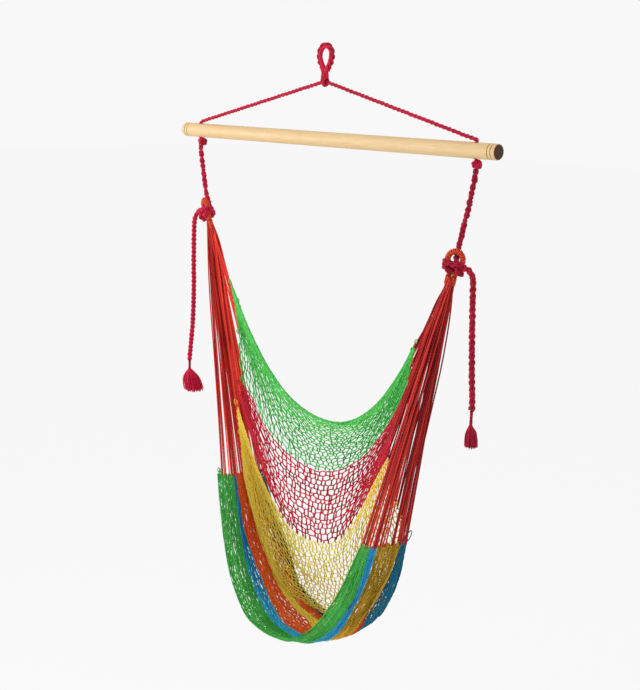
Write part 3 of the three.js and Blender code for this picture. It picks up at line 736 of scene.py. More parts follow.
@dataclass
class ThreadWork:
    """A piece made of threads."""

    name: str
    slot: Slot
    sides: int = 6
    stray: float = 0.0
    stray_size: float = 30.0
    seed: int = 1
    threads: list[Thread] = field(default_factory=list)

    _tree: ClassVar[SweepTree | None] = None

    def add(self, threads: Iterable[Thread]) -> ThreadWork:
        """Adds threads and returns the work."""
        self.threads.extend(threads)
        return self

    def piece(self) -> bpy.types.Object:
        """Runs the sweep tree over the threads.

        Returns:
            The finished piece, a plain mesh.
        """
        if ThreadWork._tree is None:
            ThreadWork._tree = SweepTree()
        sweep = ThreadWork._tree
        points = np.vstack([thread.points for thread in self.threads]) * MM
        counts = [len(thread.points) for thread in self.threads]
        starts = np.cumsum([0, *counts[:-1]])
        edges = np.vstack([
            np.stack([np.arange(start, start + count - 1), np.arange(start + 1, start + count)], 1)
            for start, count in zip(starts, counts)])
        mesh = bpy.data.meshes.new(self.name)
        mesh.from_pydata(points.tolist(), edges.tolist(), [])
        for name, unit_size in (("thickness", MM), ("shade", 1.0)):
            values = np.concatenate([
                np.broadcast_to(thread.radius if name == "thickness" else thread.shade, count)
                for thread, count in zip(self.threads, counts)])
            attribute = mesh.attributes.new(name, "FLOAT", "POINT")
            attribute.data.foreach_set("value", (values * unit_size).astype(np.float32))
        made = bpy.data.objects.new(self.name, mesh)
        bpy.context.scene.collection.objects.link(made)
        modifier = made.modifiers.new(sweep.NAME, "NODES")
        modifier.node_group = sweep.tree
        values = {"Sides": self.sides, "Fullness": 1.0, "Stray": self.stray * MM,
                  "Stray Size": self.stray_size, "Seed": self.seed, "Material": Materials.of(self.slot)}
        for name, value in values.items():
            modifier[sweep.identifiers[name]] = value
        return baked(made)


def baked(made: bpy.types.Object) -> bpy.types.Object:
    """Turns an object with modifiers into a plain mesh at the origin.

    Args:
        made: The object.

    Returns:
        The same object with the evaluated mesh and no modifiers.
    """
    depsgraph = bpy.context.evaluated_depsgraph_get()
    mesh = bpy.data.meshes.new_from_object(
        made.evaluated_get(depsgraph), preserve_all_data_layers=True, depsgraph=depsgraph)
    made.modifiers.clear()
    made.data = mesh
    mesh.name = made.name
    return made


def dressed(piece: bpy.types.Object, body: Body, slot: Slot, *nodes: str) -> bpy.types.Object:
    """Attaches a finished piece to its body and hides the CAD nodes that it stands for.

    Args:
        piece: The piece.
        body: The body that it rides on.
        slot: Not used.
        nodes: The CAD nodes that it stands for.

    Returns:
        The piece.
    """
    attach(piece, body.value)
    if nodes:
        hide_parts(*nodes)
    LOG.info("%s: %d faces on %s", piece.name, len(piece.data.polygons), body.value)
    return piece


# Turned pieces.


def lathe(name: str, profile: Sequence[Sequence[float]], segments: int,
          axis: Axis) -> bpy.types.Object:
    """Turns a closed profile about an axis.

    Args:
        name: The object's name.
        profile: Points of radius and place along the axis; the first and last have no radius.
        segments: How many sides the turned piece has.
        axis: The axis that it is turned about.

    Returns:
        The object, with faces that point outwards.
    """
    work = bmesh.new()
    rings = []
    for radius, place in profile:
        if radius <= 0:
            rings.append([work.verts.new(_turned(0, 0, place, axis))])
            continue
        angles = np.arange(segments) * TURN / segments
        rings.append([work.verts.new(_turned(radius * math.cos(a), radius * math.sin(a), place, axis))
                      for a in angles])
    for low, high in zip(rings, rings[1:]):
        for n in range(segments):
            m = (n + 1) % segments
            corners = [low[n % len(low)], low[m % len(low)], high[m % len(high)], high[n % len(high)]]
            unique = list(dict.fromkeys(corners))
            if len(unique) > 2:
                work.faces.new(unique)
    bmesh.ops.recalc_face_normals(work, faces=work.faces)
    mesh = bpy.data.meshes.new(name)
    work.to_mesh(mesh)
    work.free()
    made = bpy.data.objects.new(name, mesh)
    bpy.context.scene.collection.objects.link(made)
    return made


def _turned(across: float, out: float, place: float, axis: Axis) -> tuple[float, float, float]:
    """A point of a turned piece.

    Args:
        across: The first distance from the axis.
        out: The second distance from the axis.
        place: The place along the axis.
        axis: The axis.

    Returns:
        The point in metres.
    """
    if axis is Axis.ALONG:
        return (place * MM, across * MM, out * MM)
    return (across * MM, out * MM, place * MM)


def smoothed(made: bpy.types.Object, limit: float = 35.0) -> bpy.types.Object:
    """Shades an object smooth, apart from its sharp edges.

    Args:
        made: The object.
        limit: The angle in degrees from which an edge is sharp.

    Returns:
        The same object.
    """
    work = bmesh.new()
    work.from_mesh(made.data)
    for face in work.faces:
        face.smooth = True
    for edge in work.edges:
        edge.smooth = edge.calc_face_angle(0) < math.radians(limit)
    work.to_mesh(made.data)
    work.free()
    return made


def moved(made: bpy.types.Object, x: float, y: float, z: float) -> bpy.types.Object:
    """Moves an object's mesh by millimetres."""
    made.data.transform(Matrix.Translation((x * MM, y * MM, z * MM)))
    return made


# Sizes that several parts share.


@dataclass(frozen=True)
class Sizes:
    """Places and tones of the chair that several parts share, in its own frame."""

    eye_half_width: float = 17.8
    eye_top: float = 6.5
    throat_top: float = -44.0
    throat_foot: float = -58.4
    pivot: float = -69.05
    bar_length: float = 915.0
    bar_radius: float = 16.0
    bar_drop: float = 190.5
    bar_shift: float = 5.0
    hole_x: float = 404.0
    stopper_top: float = -206.8
    stopper_height: float = 20.0
    sling_pivot: float = -232.1
    sling_eye_places: tuple[float, float] = (-388.0, 376.0)
    sling_eye_drops: tuple[float, float] = (350.5, 386.5)
    sling_leans: tuple[float, float] = (22.0, 12.5)
    sling_turns: tuple[float, float] = (-25.0, 30.0)
    loop_width: float = 31.0
    loop_height: float = 55.0
    loop_cord: float = 9.5
    hitch_drop: float = 36.0
    tail_root_reaches: tuple[float, float] = (21.4, 19.8)
    # Tones of the ropes on the left and right; the right one's lower tone is painted shade.
    rope_painted_shades: tuple[float, float] = (0.55, 0.1)


SIZES = Sizes()


def hole_place(side: int) -> float:
    """Where the rope goes through the bar on a side."""
    return side * SIZES.hole_x + SIZES.bar_shift


# Half of an eye: its leg as shares of the leg's place and the height, its bow as shares of the half
# width and the height.
EYE_LEGS = ((1.0, 0.0), (1.0, 0.05), (1.02, 0.11))
EYE_OUTLINE = ((0.70, 0.26), (0.93, 0.44), (1.0, 0.62), (0.88, 0.81), (0.52, 0.95))


def eye_route(half_width: float, top: float, foot: float,
              leg: float) -> list[tuple[float, float, float]]:
    """Points of an eye in the XZ plane, up one leg and down the other.

    Args:
        half_width: Half of its width.
        top: The height of its top.
        foot: The height of its foot.
        leg: How far each leg starts from the middle.

    Returns:
        The points.
    """
    height = top - foot
    half = [(leg * across, height * up) for across, up in EYE_LEGS]
    half += [(half_width * across, height * up) for across, up in EYE_OUTLINE]
    left = [(-x, 0.0, foot + z) for x, z in half]
    right = [(x, 0.0, foot + z) for x, z in reversed(half)]
    return [*left, (0.0, 0.0, top), *right]


@dataclass(frozen=True)
class SlingSide:
    """The frame of one sling eye: its outer top is the origin."""

    name: str
    side: int

    @property
    def index(self) -> int:
        """0 on the left and 1 on the right."""
        return 0 if self.side < 0 else 1

    @property
    def turn(self) -> float:
        """How far the loop is turned about its own length."""
        return math.radians(SIZES.sling_turns[self.index])

    @property
    def tone(self) -> float:
        """How bright the rope is drawn: the right one is darkened with painted shade."""
        return SIZES.rope_painted_shades[self.index]

    def world(self, points: Sequence[Sequence[float]] | Array, turned: bool = True) -> Array:
        """Points of this frame in the chair's frame.

        Args:
            points: The points.
            turned: Whether they are given in the loop's own plane.

        Returns:
            The points in the chair's frame.
        """
        lean = Matrix.Rotation(self.side * math.radians(SIZES.sling_leans[self.index]), 3, "Y")
        if turned:
            lean = lean @ Matrix.Rotation(self.turn, 3, "Z")
        place = np.array([SIZES.sling_eye_places[self.index], 0, -SIZES.sling_eye_drops[self.index]])
        return np.asarray(points, float) @ np.array(lean).T + place

    @property
    def tail_root(self) -> Array:
        """Where the tail leaves the hitch."""
        reach = self.side * SIZES.tail_root_reaches[self.index]
        return self.world([[0, 0, -SIZES.hitch_drop]], False)[0] + [reach, 0, 0]


# Hanging parts.


@dataclass(frozen=True)
class HangingEye:
    """The loop on the hook, its throat and the bight under it.

    The loop's rope shows two smooth strands on its inner side and a winding pair on its outer side.
    """

    leg_gap: float = 6.9
    inner_place: float = -2.9
    inner_radius: float = 3.1
    outer_place: float = 2.4
    outer_swing: tuple[float, float] = (2.3, 3.0)
    outer_radius: float = 2.5
    outer_pitch: float = 24.0
    fold_places: tuple[float, ...] = (-8.0, -3.7, 0.6, 4.7, 8.2)
    fold_radius: float = 3.3
    inner_gap: float = 1.9
    outer_shades: tuple[float, float] = (0.35, 0.55)
    inner_shades: tuple[float, float] = (0.75, 0.55)
    bight_radius: float = 7.5
    bight_strand: float = 2.7
    bight_strands: tuple[tuple[float, float], ...] = ((-3.1, 0.0), (0.0, 2.1), (3.1, 4.2))

    def build(self) -> None:
        """Builds the loop, the throat and the bight."""
        self._loop()
        self._throat()
        self._bight()

    def _loop(self) -> None:
        """The loop, whose legs reach down into the top of the throat."""
        points = eye_route(SIZES.eye_half_width, SIZES.eye_top, SIZES.throat_top - 3, self.leg_gap)
        route = Route(points, 1.2)
        work = ThreadWork("eye_rope", Slot.CRIMSON_ROPE, sides=10)
        for strand in (0, 1):
            turn = route.run * TURN / self.outer_pitch + strand * math.pi
            across, out = self.outer_swing
            outer = route.offset(self.outer_place + across * np.cos(turn), out * np.sin(turn))
            work.add([Thread(outer, self.outer_radius, self.outer_shades[strand])])
            wave = 0.5 * np.sin(route.run * TURN / 38 + 2 * strand)
            inner = route.offset(self.inner_place + wave, (2 * strand - 1) * self.inner_gap)
            work.add([Thread(inner, self.inner_radius, self.inner_shades[strand])])
        piece = work.piece()
        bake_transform(piece)
        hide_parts("hanging_eye")
        LOG.info("%s: %d faces on eye and throat", piece.name, len(piece.data.polygons))

    def _throat(self) -> None:
        """The legs pressed together in upright folds."""
        work = ThreadWork("eye_throat_strands", Slot.CRIMSON_ROPE, sides=10)
        top, foot = SIZES.throat_top + 2, SIZES.throat_foot - 3.5
        share = np.linspace(0, 1, 14)
        for number, place in enumerate(self.fold_places):
            side = 1 if number % 2 else -1
            bulge = 0.8 * np.sin(share * math.pi * 1.6 + number)
            points = np.stack([
                place * (1 - 0.26 * share) + bulge, side * 1.7 + 0.9 * np.sin(share * 4 + number),
                top + (foot - top) * share], axis=1)
            radius = self.fold_radius * (1 + 0.12 * np.sin(share * 5 + 2 * number))
            work.add([Thread(points, radius, 0.3 + 0.25 * (number % 3))])
        dressed(work.piece(), Body.THROAT, Slot.CRIMSON_ROPE, "eye_throat")

    def _bight(self) -> None:
        """The small loop under the throat that the hanger rope runs through, pointed at its foot."""
        angle = np.linspace(-0.02, TURN + 0.02, 60)
        work = ThreadWork("eye_bight_strands", Slot.CRIMSON_ROPE, sides=10)
        low = np.clip(-np.sin(angle), 0, 1)
        for shift, phase in self.bight_strands:
            radius = self.bight_radius + 0.4 * np.sin(3 * angle + phase) + 0.9 * low ** 4
            x = (shift + 0.5 * np.sin(2 * angle + phase)) * (1 - 0.72 * low ** 2)
            points = np.stack([x, radius * np.cos(angle), SIZES.pivot + radius * np.sin(angle)], axis=1)
            work.add([Thread(points, self.bight_strand, 0.45 + 0.06 * shift)])
        dressed(work.piece(), Body.BIGHT, Slot.CRIMSON_ROPE, "eye_bight")


# A ring groove's outline as shares of its width and depth, and the softened mouth of a rope hole as
# distances beyond the hole's radius and the bar's radius.
GROOVE_OUTLINE = ((0.5, 0), (0.36, 0.35), (0.16, 0.9), (0, 1), (-0.16, 0.9), (-0.36, 0.35), (-0.5, 0))
HOLE_MOUTH = ((0.0, -4.0), (1.0, -1.8), (2.2, -0.2), (4.4, 2.5))


@dataclass(frozen=True)
class Spreader:
    """The bar, its end discs, the hanger rope and the stopper knots."""

    rope: Plait = Plait(width=9.0, strand=4.7, pitch=34.0, depth=0.42, wander=0.35, seed=11)
    knot: Plait = Plait(width=9.0, strand=4.6, pitch=27.0, depth=0.42, seed=21)
    knot_size: tuple[float, float, float] = (2.75, 2.55, 4.6)
    knot_turns: tuple[float, float] = (25.0, -60.0)
    knot_core: float = 4.6
    segments: int = 72
    end_chamfer: float = 1.2
    groove_insets: tuple[float, ...] = (11.0, 19.0)
    groove_width: float = 2.6
    groove_depth: float = 0.9
    hole_radius: float = 5.0
    disc_radius: float = 14.5
    disc_thickness: float = 2.0
    disc_gap: float = 0.3
    bend_radius: float = 6.0
    crown_radius: float = 25.0

    def build(self) -> None:
        """Builds the pieces that ride on the spreader."""
        self._bar()
        self._discs()
        self._hanger()
        for name, side in SIDES:
            self._stopper(name, side)

    def _bar(self) -> None:
        """The turned bar with its grooves and rope holes."""
        radius, end = SIZES.bar_radius, SIZES.bar_length / 2 - self.disc_thickness - self.disc_gap
        half = [(0.0, end), (radius - self.end_chamfer, end)]
        for share in (0.3, 0.7, 1.0):
            bend = share * math.pi / 2
            half.append((radius - self.end_chamfer * (1 - math.sin(bend)),
                         end - self.end_chamfer * (1 - math.cos(bend))))
        for inset in self.groove_insets:
            middle = SIZES.bar_length / 2 - inset
            for across, down in GROOVE_OUTLINE:
                half.append((radius - self.groove_depth * down, middle + across * self.groove_width))
        half += [(radius, x) for x in (SIZES.hole_x + 16, SIZES.hole_x - 16, 250.0, 100.0)]
        profile = [(r, -x) for r, x in half] + [(r, x) for r, x in reversed(half)]
        bar = lathe("bar_wood", profile, self.segments, Axis.ALONG)
        moved(bar, SIZES.bar_shift, 0, -SIZES.bar_drop)
        cutters = [self._hole(hole_place(side)) for _, side in SIDES]
        for cutter in cutters:
            modifier = bar.modifiers.new("hole", "BOOLEAN")
            modifier.operation = "DIFFERENCE"
            modifier.solver = "EXACT"
            modifier.object = cutter
        baked(bar)
        for cutter in cutters:
            bpy.data.objects.remove(cutter)
        bar.data.materials.clear()
        bar.data.materials.append(Materials.of(Slot.PALE_WOOD))
        self._darken_grooves(bar)
        dressed(smoothed(bar), Body.SPREADER, Slot.PALE_WOOD, "spreader_bar")

    def _darken_grooves(self, bar: bpy.types.Object) -> None:
        """Stores how much darker the wood is drawn: down in the ring grooves, by their depth.

        Args:
            bar: The turned bar.
        """
        places = np.empty(len(bar.data.vertices) * 3, np.float32)
        bar.data.vertices.foreach_get("co", places)
        x, y, z = (places.reshape(-1, 3) / MM).T
        depth = SIZES.bar_radius - np.hypot(y, z + SIZES.bar_drop)
        reach = SIZES.bar_length / 2 - np.abs(x - SIZES.bar_shift)
        inner, outer = max(self.groove_insets), min(self.groove_insets)
        near = (reach < inner + self.groove_width) & (reach > outer - self.groove_width)
        attribute = bar.data.attributes.new("burn", "FLOAT", "POINT")
        burn = np.clip(depth / self.groove_depth, 0, 1) * near
        attribute.data.foreach_set("value", burn.astype(np.float32))

    def _hole(self, x: float) -> bpy.types.Object:
        """The cutter of one rope hole, with softened mouths.

        Args:
            x: The hole's place along the bar.

        Returns:
            The cutter.
        """
        mouth = [(self.hole_radius + out, SIZES.bar_radius + up) for out, up in HOLE_MOUTH]
        top = mouth[-1][1]
        profile = [(0.0, -top), *[(r, -z) for r, z in reversed(mouth)], *mouth, (0.0, top)]
        return moved(lathe("rope_hole", profile, 40, Axis.UPRIGHT), x, 0, -SIZES.bar_drop)

    def _discs(self) -> None:
        """The dark discs on the bar's ends."""
        for name, side in SIDES:
            radius, end = self.disc_radius, SIZES.bar_length / 2
            start = end - self.disc_thickness - 2 * self.disc_gap
            profile = [(0.0, start), (radius, start), (radius, end - 0.8), (radius - 0.25, end - 0.25),
                       (radius - 0.8, end), (radius * 0.6, end - 0.15), (0.0, end - 0.2)]
            disc = lathe(f"bar_end_{name}", [(r, side * x) for r, x in profile], 48, Axis.ALONG)
            moved(disc, SIZES.bar_shift, 0, -SIZES.bar_drop)
            disc.data.materials.append(Materials.of(Slot.DARK_WOOD))
            dressed(smoothed(disc), Body.SPREADER, Slot.DARK_WOOD, f"end_disc_{name}")

    def _hanger(self) -> None:
        """One rope from hole to hole over the bight."""
        halves = {side: self._hanger_half(side * hole_place(side)) for _, side in SIDES}
        points = [(-x, 0, z) for x, z in halves[-1]]
        points += [(0, 0, SIZES.pivot), *((x, 0, z) for x, z in reversed(halves[1]))]
        route = Route(points, 1.5)
        work = ThreadWork("hanger_plait", Slot.CRIMSON_ROPE, sides=8).add(self.rope.threads(route))
        dressed(work.piece(), Body.SPREADER, Slot.CRIMSON_ROPE, "hanger_rope")

    def _hanger_half(self, hole: float) -> list[tuple[float, float]]:
        """Half of the hanger rope.

        Args:
            hole: The hole's distance from the middle of the eye.

        Returns:
            Outward and upward places, from the hole to the crown.
        """
        bend_x = hole - self.bend_radius
        bend_z = -SIZES.bar_drop + SIZES.bar_radius - 0.5
        slope = math.atan2(SIZES.pivot - bend_z - self.bend_radius, bend_x)
        half = [(hole, SIZES.stopper_top - 2), (hole, -SIZES.bar_drop)]
        for share in (0, 0.25, 0.5, 0.75, 1):
            angle = (math.pi / 2 - slope) * share
            half.append((bend_x + self.bend_radius * math.cos(angle),
                         bend_z + self.bend_radius * math.sin(angle)))
        foot, crown = half[-1], SIZES.pivot - self.crown_radius
        head = (self.crown_radius * (math.sin(slope) + math.cos(slope)),
                crown + self.crown_radius * (math.cos(slope) - math.sin(slope)))
        for share in (0.03, 0.35, 0.7, 1):
            half.append((foot[0] + (head[0] - foot[0]) * share, foot[1] + (head[1] - foot[1]) * share))
        for share in (1, 0.5):
            angle = slope * share
            half.append((self.crown_radius * math.sin(angle), crown + self.crown_radius * math.cos(angle)))
        return half

    def _stopper(self, name: str, side: int) -> None:
        """A knot of plaited rope under the bar, a little off its hole.

        Args:
            name: The name of its side.
            side: -1 on the left and 1 on the right.
        """
        angle = np.linspace(0, TURN, 25)[:-1]
        knot = np.stack([np.sin(angle) + 2 * np.sin(2 * angle), np.cos(angle) - 2 * np.cos(2 * angle),
                         -np.sin(3 * angle)], axis=1)
        knot = knot * self.knot_size
        turn = math.radians(self.knot_turns[0 if side < 0 else 1])
        cos, sin = math.cos(turn), math.sin(turn)
        spin = np.array([[cos, -sin, 0], [sin, cos, 0], [0, 0, 1]])
        centre = np.array([hole_place(side) + 1.5, 2.5, SIZES.stopper_top - SIZES.stopper_height / 2])
        points = knot @ spin.T + centre
        points = np.vstack([points, points[:1]])
        work = ThreadWork(f"stopper_plait_{name}", Slot.CRIMSON_ROPE, sides=8)
        work.add(self.knot.threads(Route(points, 1.3, flat=(0, 0, 1))))
        core = np.array([[0, 0, 9.0], [0, 0, 0], [0, 0, -9.5]]) + centre
        work.add([Thread(SmoothLine(core).at(np.linspace(0, 1, 9)), self.knot_core, 0.4)])
        dressed(work.piece(), Body.SPREADER, Slot.CRIMSON_ROPE, f"stopper_knot_{name}")


# Paths in the frame of the right sling eye: the rope of the hitch, its core, and one leg of the neck.
HITCH_PATH = ((2, 9.5, -12), (2, 8, -20), (2, 0, -26.5), (5, -9, -31), (9, -13.5, -40), (14, -12, -49),
              (19, -2, -52), (12, 10, -49), (0, 13, -46), (-13, 11, -44), (-19.5, 1, -43), (-14, -10, -46),
              (-4, -8, -49), (0, 2, -46), (-8, 10, -39), (-19, 4, -34), (-17, -9, -34), (-5, -15, -34),
              (8, -16, -31), (16, -11, -32))
HITCH_CORE = ((-9, 0, -36), (0, 0, -37), (9, 0, -36))
NECK_LEG = ((5.3, 0, -53.5), (6.0, 0.4, -60), (5.8, 0.8, -67), (5.4, 1.0, -75.5))


@dataclass(frozen=True)
class SlingEnd:
    """One end of the sling: drop rope, wrapped eye, hitch and wrapped neck; its tail is built apart."""

    frame: SlingSide
    drop: Plait = Plait(width=12.6, strand=5.8, pitch=36.0, depth=0.44, roll_period=118.0, wander=1.2,
                        seed=31)
    hitch: Plait = Plait(width=12.2, strand=6.0, pitch=35.0, depth=0.44, wander=0.5, seed=33)
    lift: float = 5.0
    wrap: Winding = Winding(thread=2.7, bundle=2)
    wrap_core: float = 5.0
    wrap_slack: float = 0.9
    neck_thread: float = 2.6
    neck_cores: tuple[float, float] = (4.8, 5.2)
    hitch_core: float = 7.5

    def build(self) -> None:
        """Builds the pieces of this end."""
        self._drop()
        self._loop()
        self._hitch()
        self._neck()

    def _drop(self) -> None:
        """The rope from the stopper knot to the hitch."""
        turn = self.frame.turn
        behind = (SIZES.loop_cord + 10) / 2 + 0.3
        local = [(-math.sin(turn) * behind, math.cos(turn) * behind, share * SIZES.hitch_drop)
                 for share in (0.45, 0, -0.4, -0.75)]
        below = self.frame.world(local, False)
        top = np.array([hole_place(self.frame.side), 0, SIZES.sling_pivot + 6])
        pivot = top - [0, 0, 9]
        middle = (pivot + below[0]) / 2 + [self.frame.side * 1.2, 0.8, 0]
        route = Route(np.vstack([top, pivot, middle, below]), 1.4, flat=(0.3, 1, 0))
        work = ThreadWork(f"drop_plait_{self.frame.name}", Slot.CRIMSON_ROPE, sides=8)
        work.add(self.drop.threads(route, tone=self.frame.tone))
        dressed(work.piece(), Body.SLING, Slot.CRIMSON_ROPE, f"drop_rope_{self.frame.name}")

    def _loop(self) -> None:
        """The loop of end strings, wrapped in thread."""
        points = eye_route(SIZES.loop_width / 2, -SIZES.loop_cord / 2, -SIZES.loop_height + 0.3,
                           SIZES.loop_cord / 2 + 0.3)
        route = Route(self.frame.world(points), 0.8, flat=self._flat())
        work = ThreadWork(f"sling_eye_wrap_{self.frame.name}", Slot.ORANGE_THREAD, sides=6)
        work.add(self.wrap.threads(route, self.wrap_core, self.wrap_slack))
        dressed(work.piece(), Body.SLING, Slot.ORANGE_THREAD, f"sling_eye_{self.frame.name}")

    def _flat(self) -> Array:
        """The direction across the loop's plane."""
        return self.frame.world([[0, 1, 0]])[0] - self.frame.world([[0, 0, 0]])[0]

    def _neck(self) -> None:
        """The wrapped legs of the loop, which meet above the strings."""
        work = ThreadWork(f"neck_wrap_{self.frame.name}", Slot.ORANGE_THREAD, sides=6)
        for leg in (-1, 1):
            points = [(leg * x, leg * y, z) for x, y, z in NECK_LEG]
            route = Route(self.frame.world(points), 0.8, flat=self._flat())
            core = np.linspace(*self.neck_cores, len(route.run))
            work.add(Winding(thread=self.neck_thread, seed=3 + leg).threads(route, core))
        dressed(work.piece(), Body.SLING, Slot.ORANGE_THREAD, f"neck_whipping_{self.frame.name}")

    def _hitch(self) -> None:
        """The knot that ties the drop rope round both legs of the loop."""
        mirrored = [(self.frame.side * x, y, z + self.lift) for x, y, z in HITCH_PATH]
        root = self.frame.tail_root
        points = np.vstack([self.frame.world(mirrored), root - [self.frame.side * 5, 0, 0],
                            root + [self.frame.side * 1.5, 0, 0]])
        route = Route(points, 1.4, flat=self._flat())
        work = ThreadWork(f"hitch_plait_{self.frame.name}", Slot.CRIMSON_ROPE, sides=8)
        work.add(self.hitch.threads(route, tone=self.frame.tone))
        core = SmoothLine(self.frame.world(HITCH_CORE))
        work.add([Thread(core.at(np.linspace(0, 1, 9)), self.hitch_core, 0.2)])
        dressed(work.piece(), Body.SLING, Slot.CRIMSON_ROPE, f"hitch_knot_{self.frame.name}")


# Outward and upward places from each tail's root, as in the CAD source.
TAIL_ROUTES = {
    "left": ((0, 0), (4, 0), (10, -1.6), (16, -6.5), (21, -14), (24, -24), (25.5, -45), (26, -85),
             (26, -130), (25, -170), (25, -205), (26, -240), (28, -277), (32, -312), (36, -345), (38, -358),
             (38, -370)),
    "right": ((0, 0), (4, 0), (13, -1.6), (21, -6.5), (27, -14), (29.6, -24), (30.5, -45), (32, -80),
              (34, -120), (36, -160), (38, -190), (40, -220), (43, -250), (44, -272), (44, -284)),
}


# A yarn of a tassel: its reach outwards and its fall, as shares.
TASSEL_OUTLINE = ((0.0, -0.06), (0.42, 0.12), (0.76, 0.36), (0.95, 0.72), (1.0, 1.0))


@dataclass(frozen=True)
class Tail:
    """A spare end of the rope, with its binding and its tassel."""

    frame: SlingSide
    ropes: tuple[Plait, Plait] = (
        Plait(width=12.4, strand=6.8, pitch=31.0, depth=0.34, wander=0.3, seed=35),
        Plait(width=14.8, strand=7.2, pitch=40.0, depth=0.40, wander=0.3, seed=35))
    rolls: tuple[float, float] = (113.0, 43.0)
    binding_heights: tuple[float, float] = (26.0, 34.0)
    tassel_radii: tuple[float, float] = (26.5, 15.0)
    tassel_heights: tuple[float, float] = (54.0, 46.0)
    tassel_leans: tuple[float, float] = (19.0, 5.0)
    # Painted light: the left tassel is brightened against the shade between its yarns.
    tassel_painted_light: tuple[float, float] = (1.6, 0.55)
    tassel_head: float = 3.2
    yarns: int = 190
    yarn: float = 2.1

    @property
    def body(self) -> Body:
        """The body of this tail."""
        return Body.TAIL_LEFT if self.frame.side < 0 else Body.TAIL_RIGHT

    def build(self) -> None:
        name, side = self.frame.name, self.frame.side
        root = self.frame.tail_root
        points = np.array([root + [side * out, 0, down] for out, down in TAIL_ROUTES[name]])
        route = Route(points, 1.4, flat=self._flat(self.rolls[self.frame.index]))
        work = ThreadWork(f"tail_plait_{name}", Slot.CRIMSON_ROPE, sides=8)
        plait = self.ropes[self.frame.index]
        work.add(plait.threads(route, tone=self.frame.tone))
        rope = dressed(work.piece(), self.body, Slot.CRIMSON_ROPE, f"tail_rope_{name}")
        binding = self._binding(points[-1])
        tassel = self._tassel(points[-1] - [0, 0, self.binding_heights[self.frame.index] + 0.6])
        (route.points * MM).tolist()

    def _flat(self, roll: float) -> Array:
        """The flat side's direction at the root, rolled about X by degrees."""
        angle = math.radians(roll)
        return np.array([0.0, math.cos(angle), math.sin(angle)])

    def _binding(self, foot: Array) -> bpy.types.Object:
        """Cord wound round the end of the rope.

        Args:
            foot: The end of the rope.

        Returns:
            The binding.
        """
        height = self.binding_heights[self.frame.index]
        points = [foot + [0, 0, 1.5], foot - [0, 0, height / 2], foot - [0, 0, height + 1]]
        route = Route(points, 0.8)
        share = route.run / route.length
        core = 2.6 + 0.9 * np.clip(1 - share * 5, 0, 1) - 0.3 * np.sin(np.pi * share)
        work = ThreadWork(f"tail_binding_wrap_{self.frame.name}", Slot.CRIMSON_ROPE, sides=6)
        work.add(Winding(thread=2.3, bundle=2, seed=7).threads(route, core, slack=0.2))
        return dressed(work.piece(), self.body, Slot.CRIMSON_ROPE, f"tail_binding_{self.frame.name}")

    def _tassel(self, top: Array) -> bpy.types.Object:
        """Yarns that swell below the binding, spread to their cut ends and lean to one side.

        Args:
            top: The foot of the binding.

        Returns:
            The tassel.
        """
        index = self.frame.index
        draw = np.random.default_rng(50 + index)
        radius, height = self.tassel_radii[index], self.tassel_heights[index]
        lean = math.tan(math.radians(self.tassel_leans[index]))
        work = ThreadWork(f"tassel_yarns_{self.frame.name}", Slot.CRIMSON_ROPE, sides=5, stray=3.0,
                          stray_size=50.0, seed=5 + index)
        for yarn in range(self.yarns):
            rank = math.sqrt((yarn + 0.5) / self.yarns)
            angle = yarn * GOLDEN_TURN + draw.uniform(-0.2, 0.2)
            fall = height * draw.uniform(0.84, 1.0) * (1 - 0.08 * rank)
            reach = (radius - self.yarn / 2) * rank * draw.uniform(0.82, 1.0)
            way = np.array([math.cos(angle), math.sin(angle), 0.0])
            points = []
            for out, down in TASSEL_OUTLINE:
                spread = self.tassel_head * rank if down < 0 else 1.0 + out * reach
                points.append(top + way * spread + [lean * max(down, 0) * fall, 0, -down * fall])
            line = SmoothLine(points).at(np.linspace(0, 1, 15))
            thin = np.linspace(self.yarn / 2, self.yarn / 2 * 0.8, 15)
            work.add([Thread(line, thin, self.tassel_painted_light[index] + draw.uniform(-0.3, 0.3))])
        return dressed(work.piece(), self.body, Slot.CRIMSON_ROPE, f"tassel_{self.frame.name}")


# The net.


# How far on each side of a place a direction is measured.
STEP = 0.004


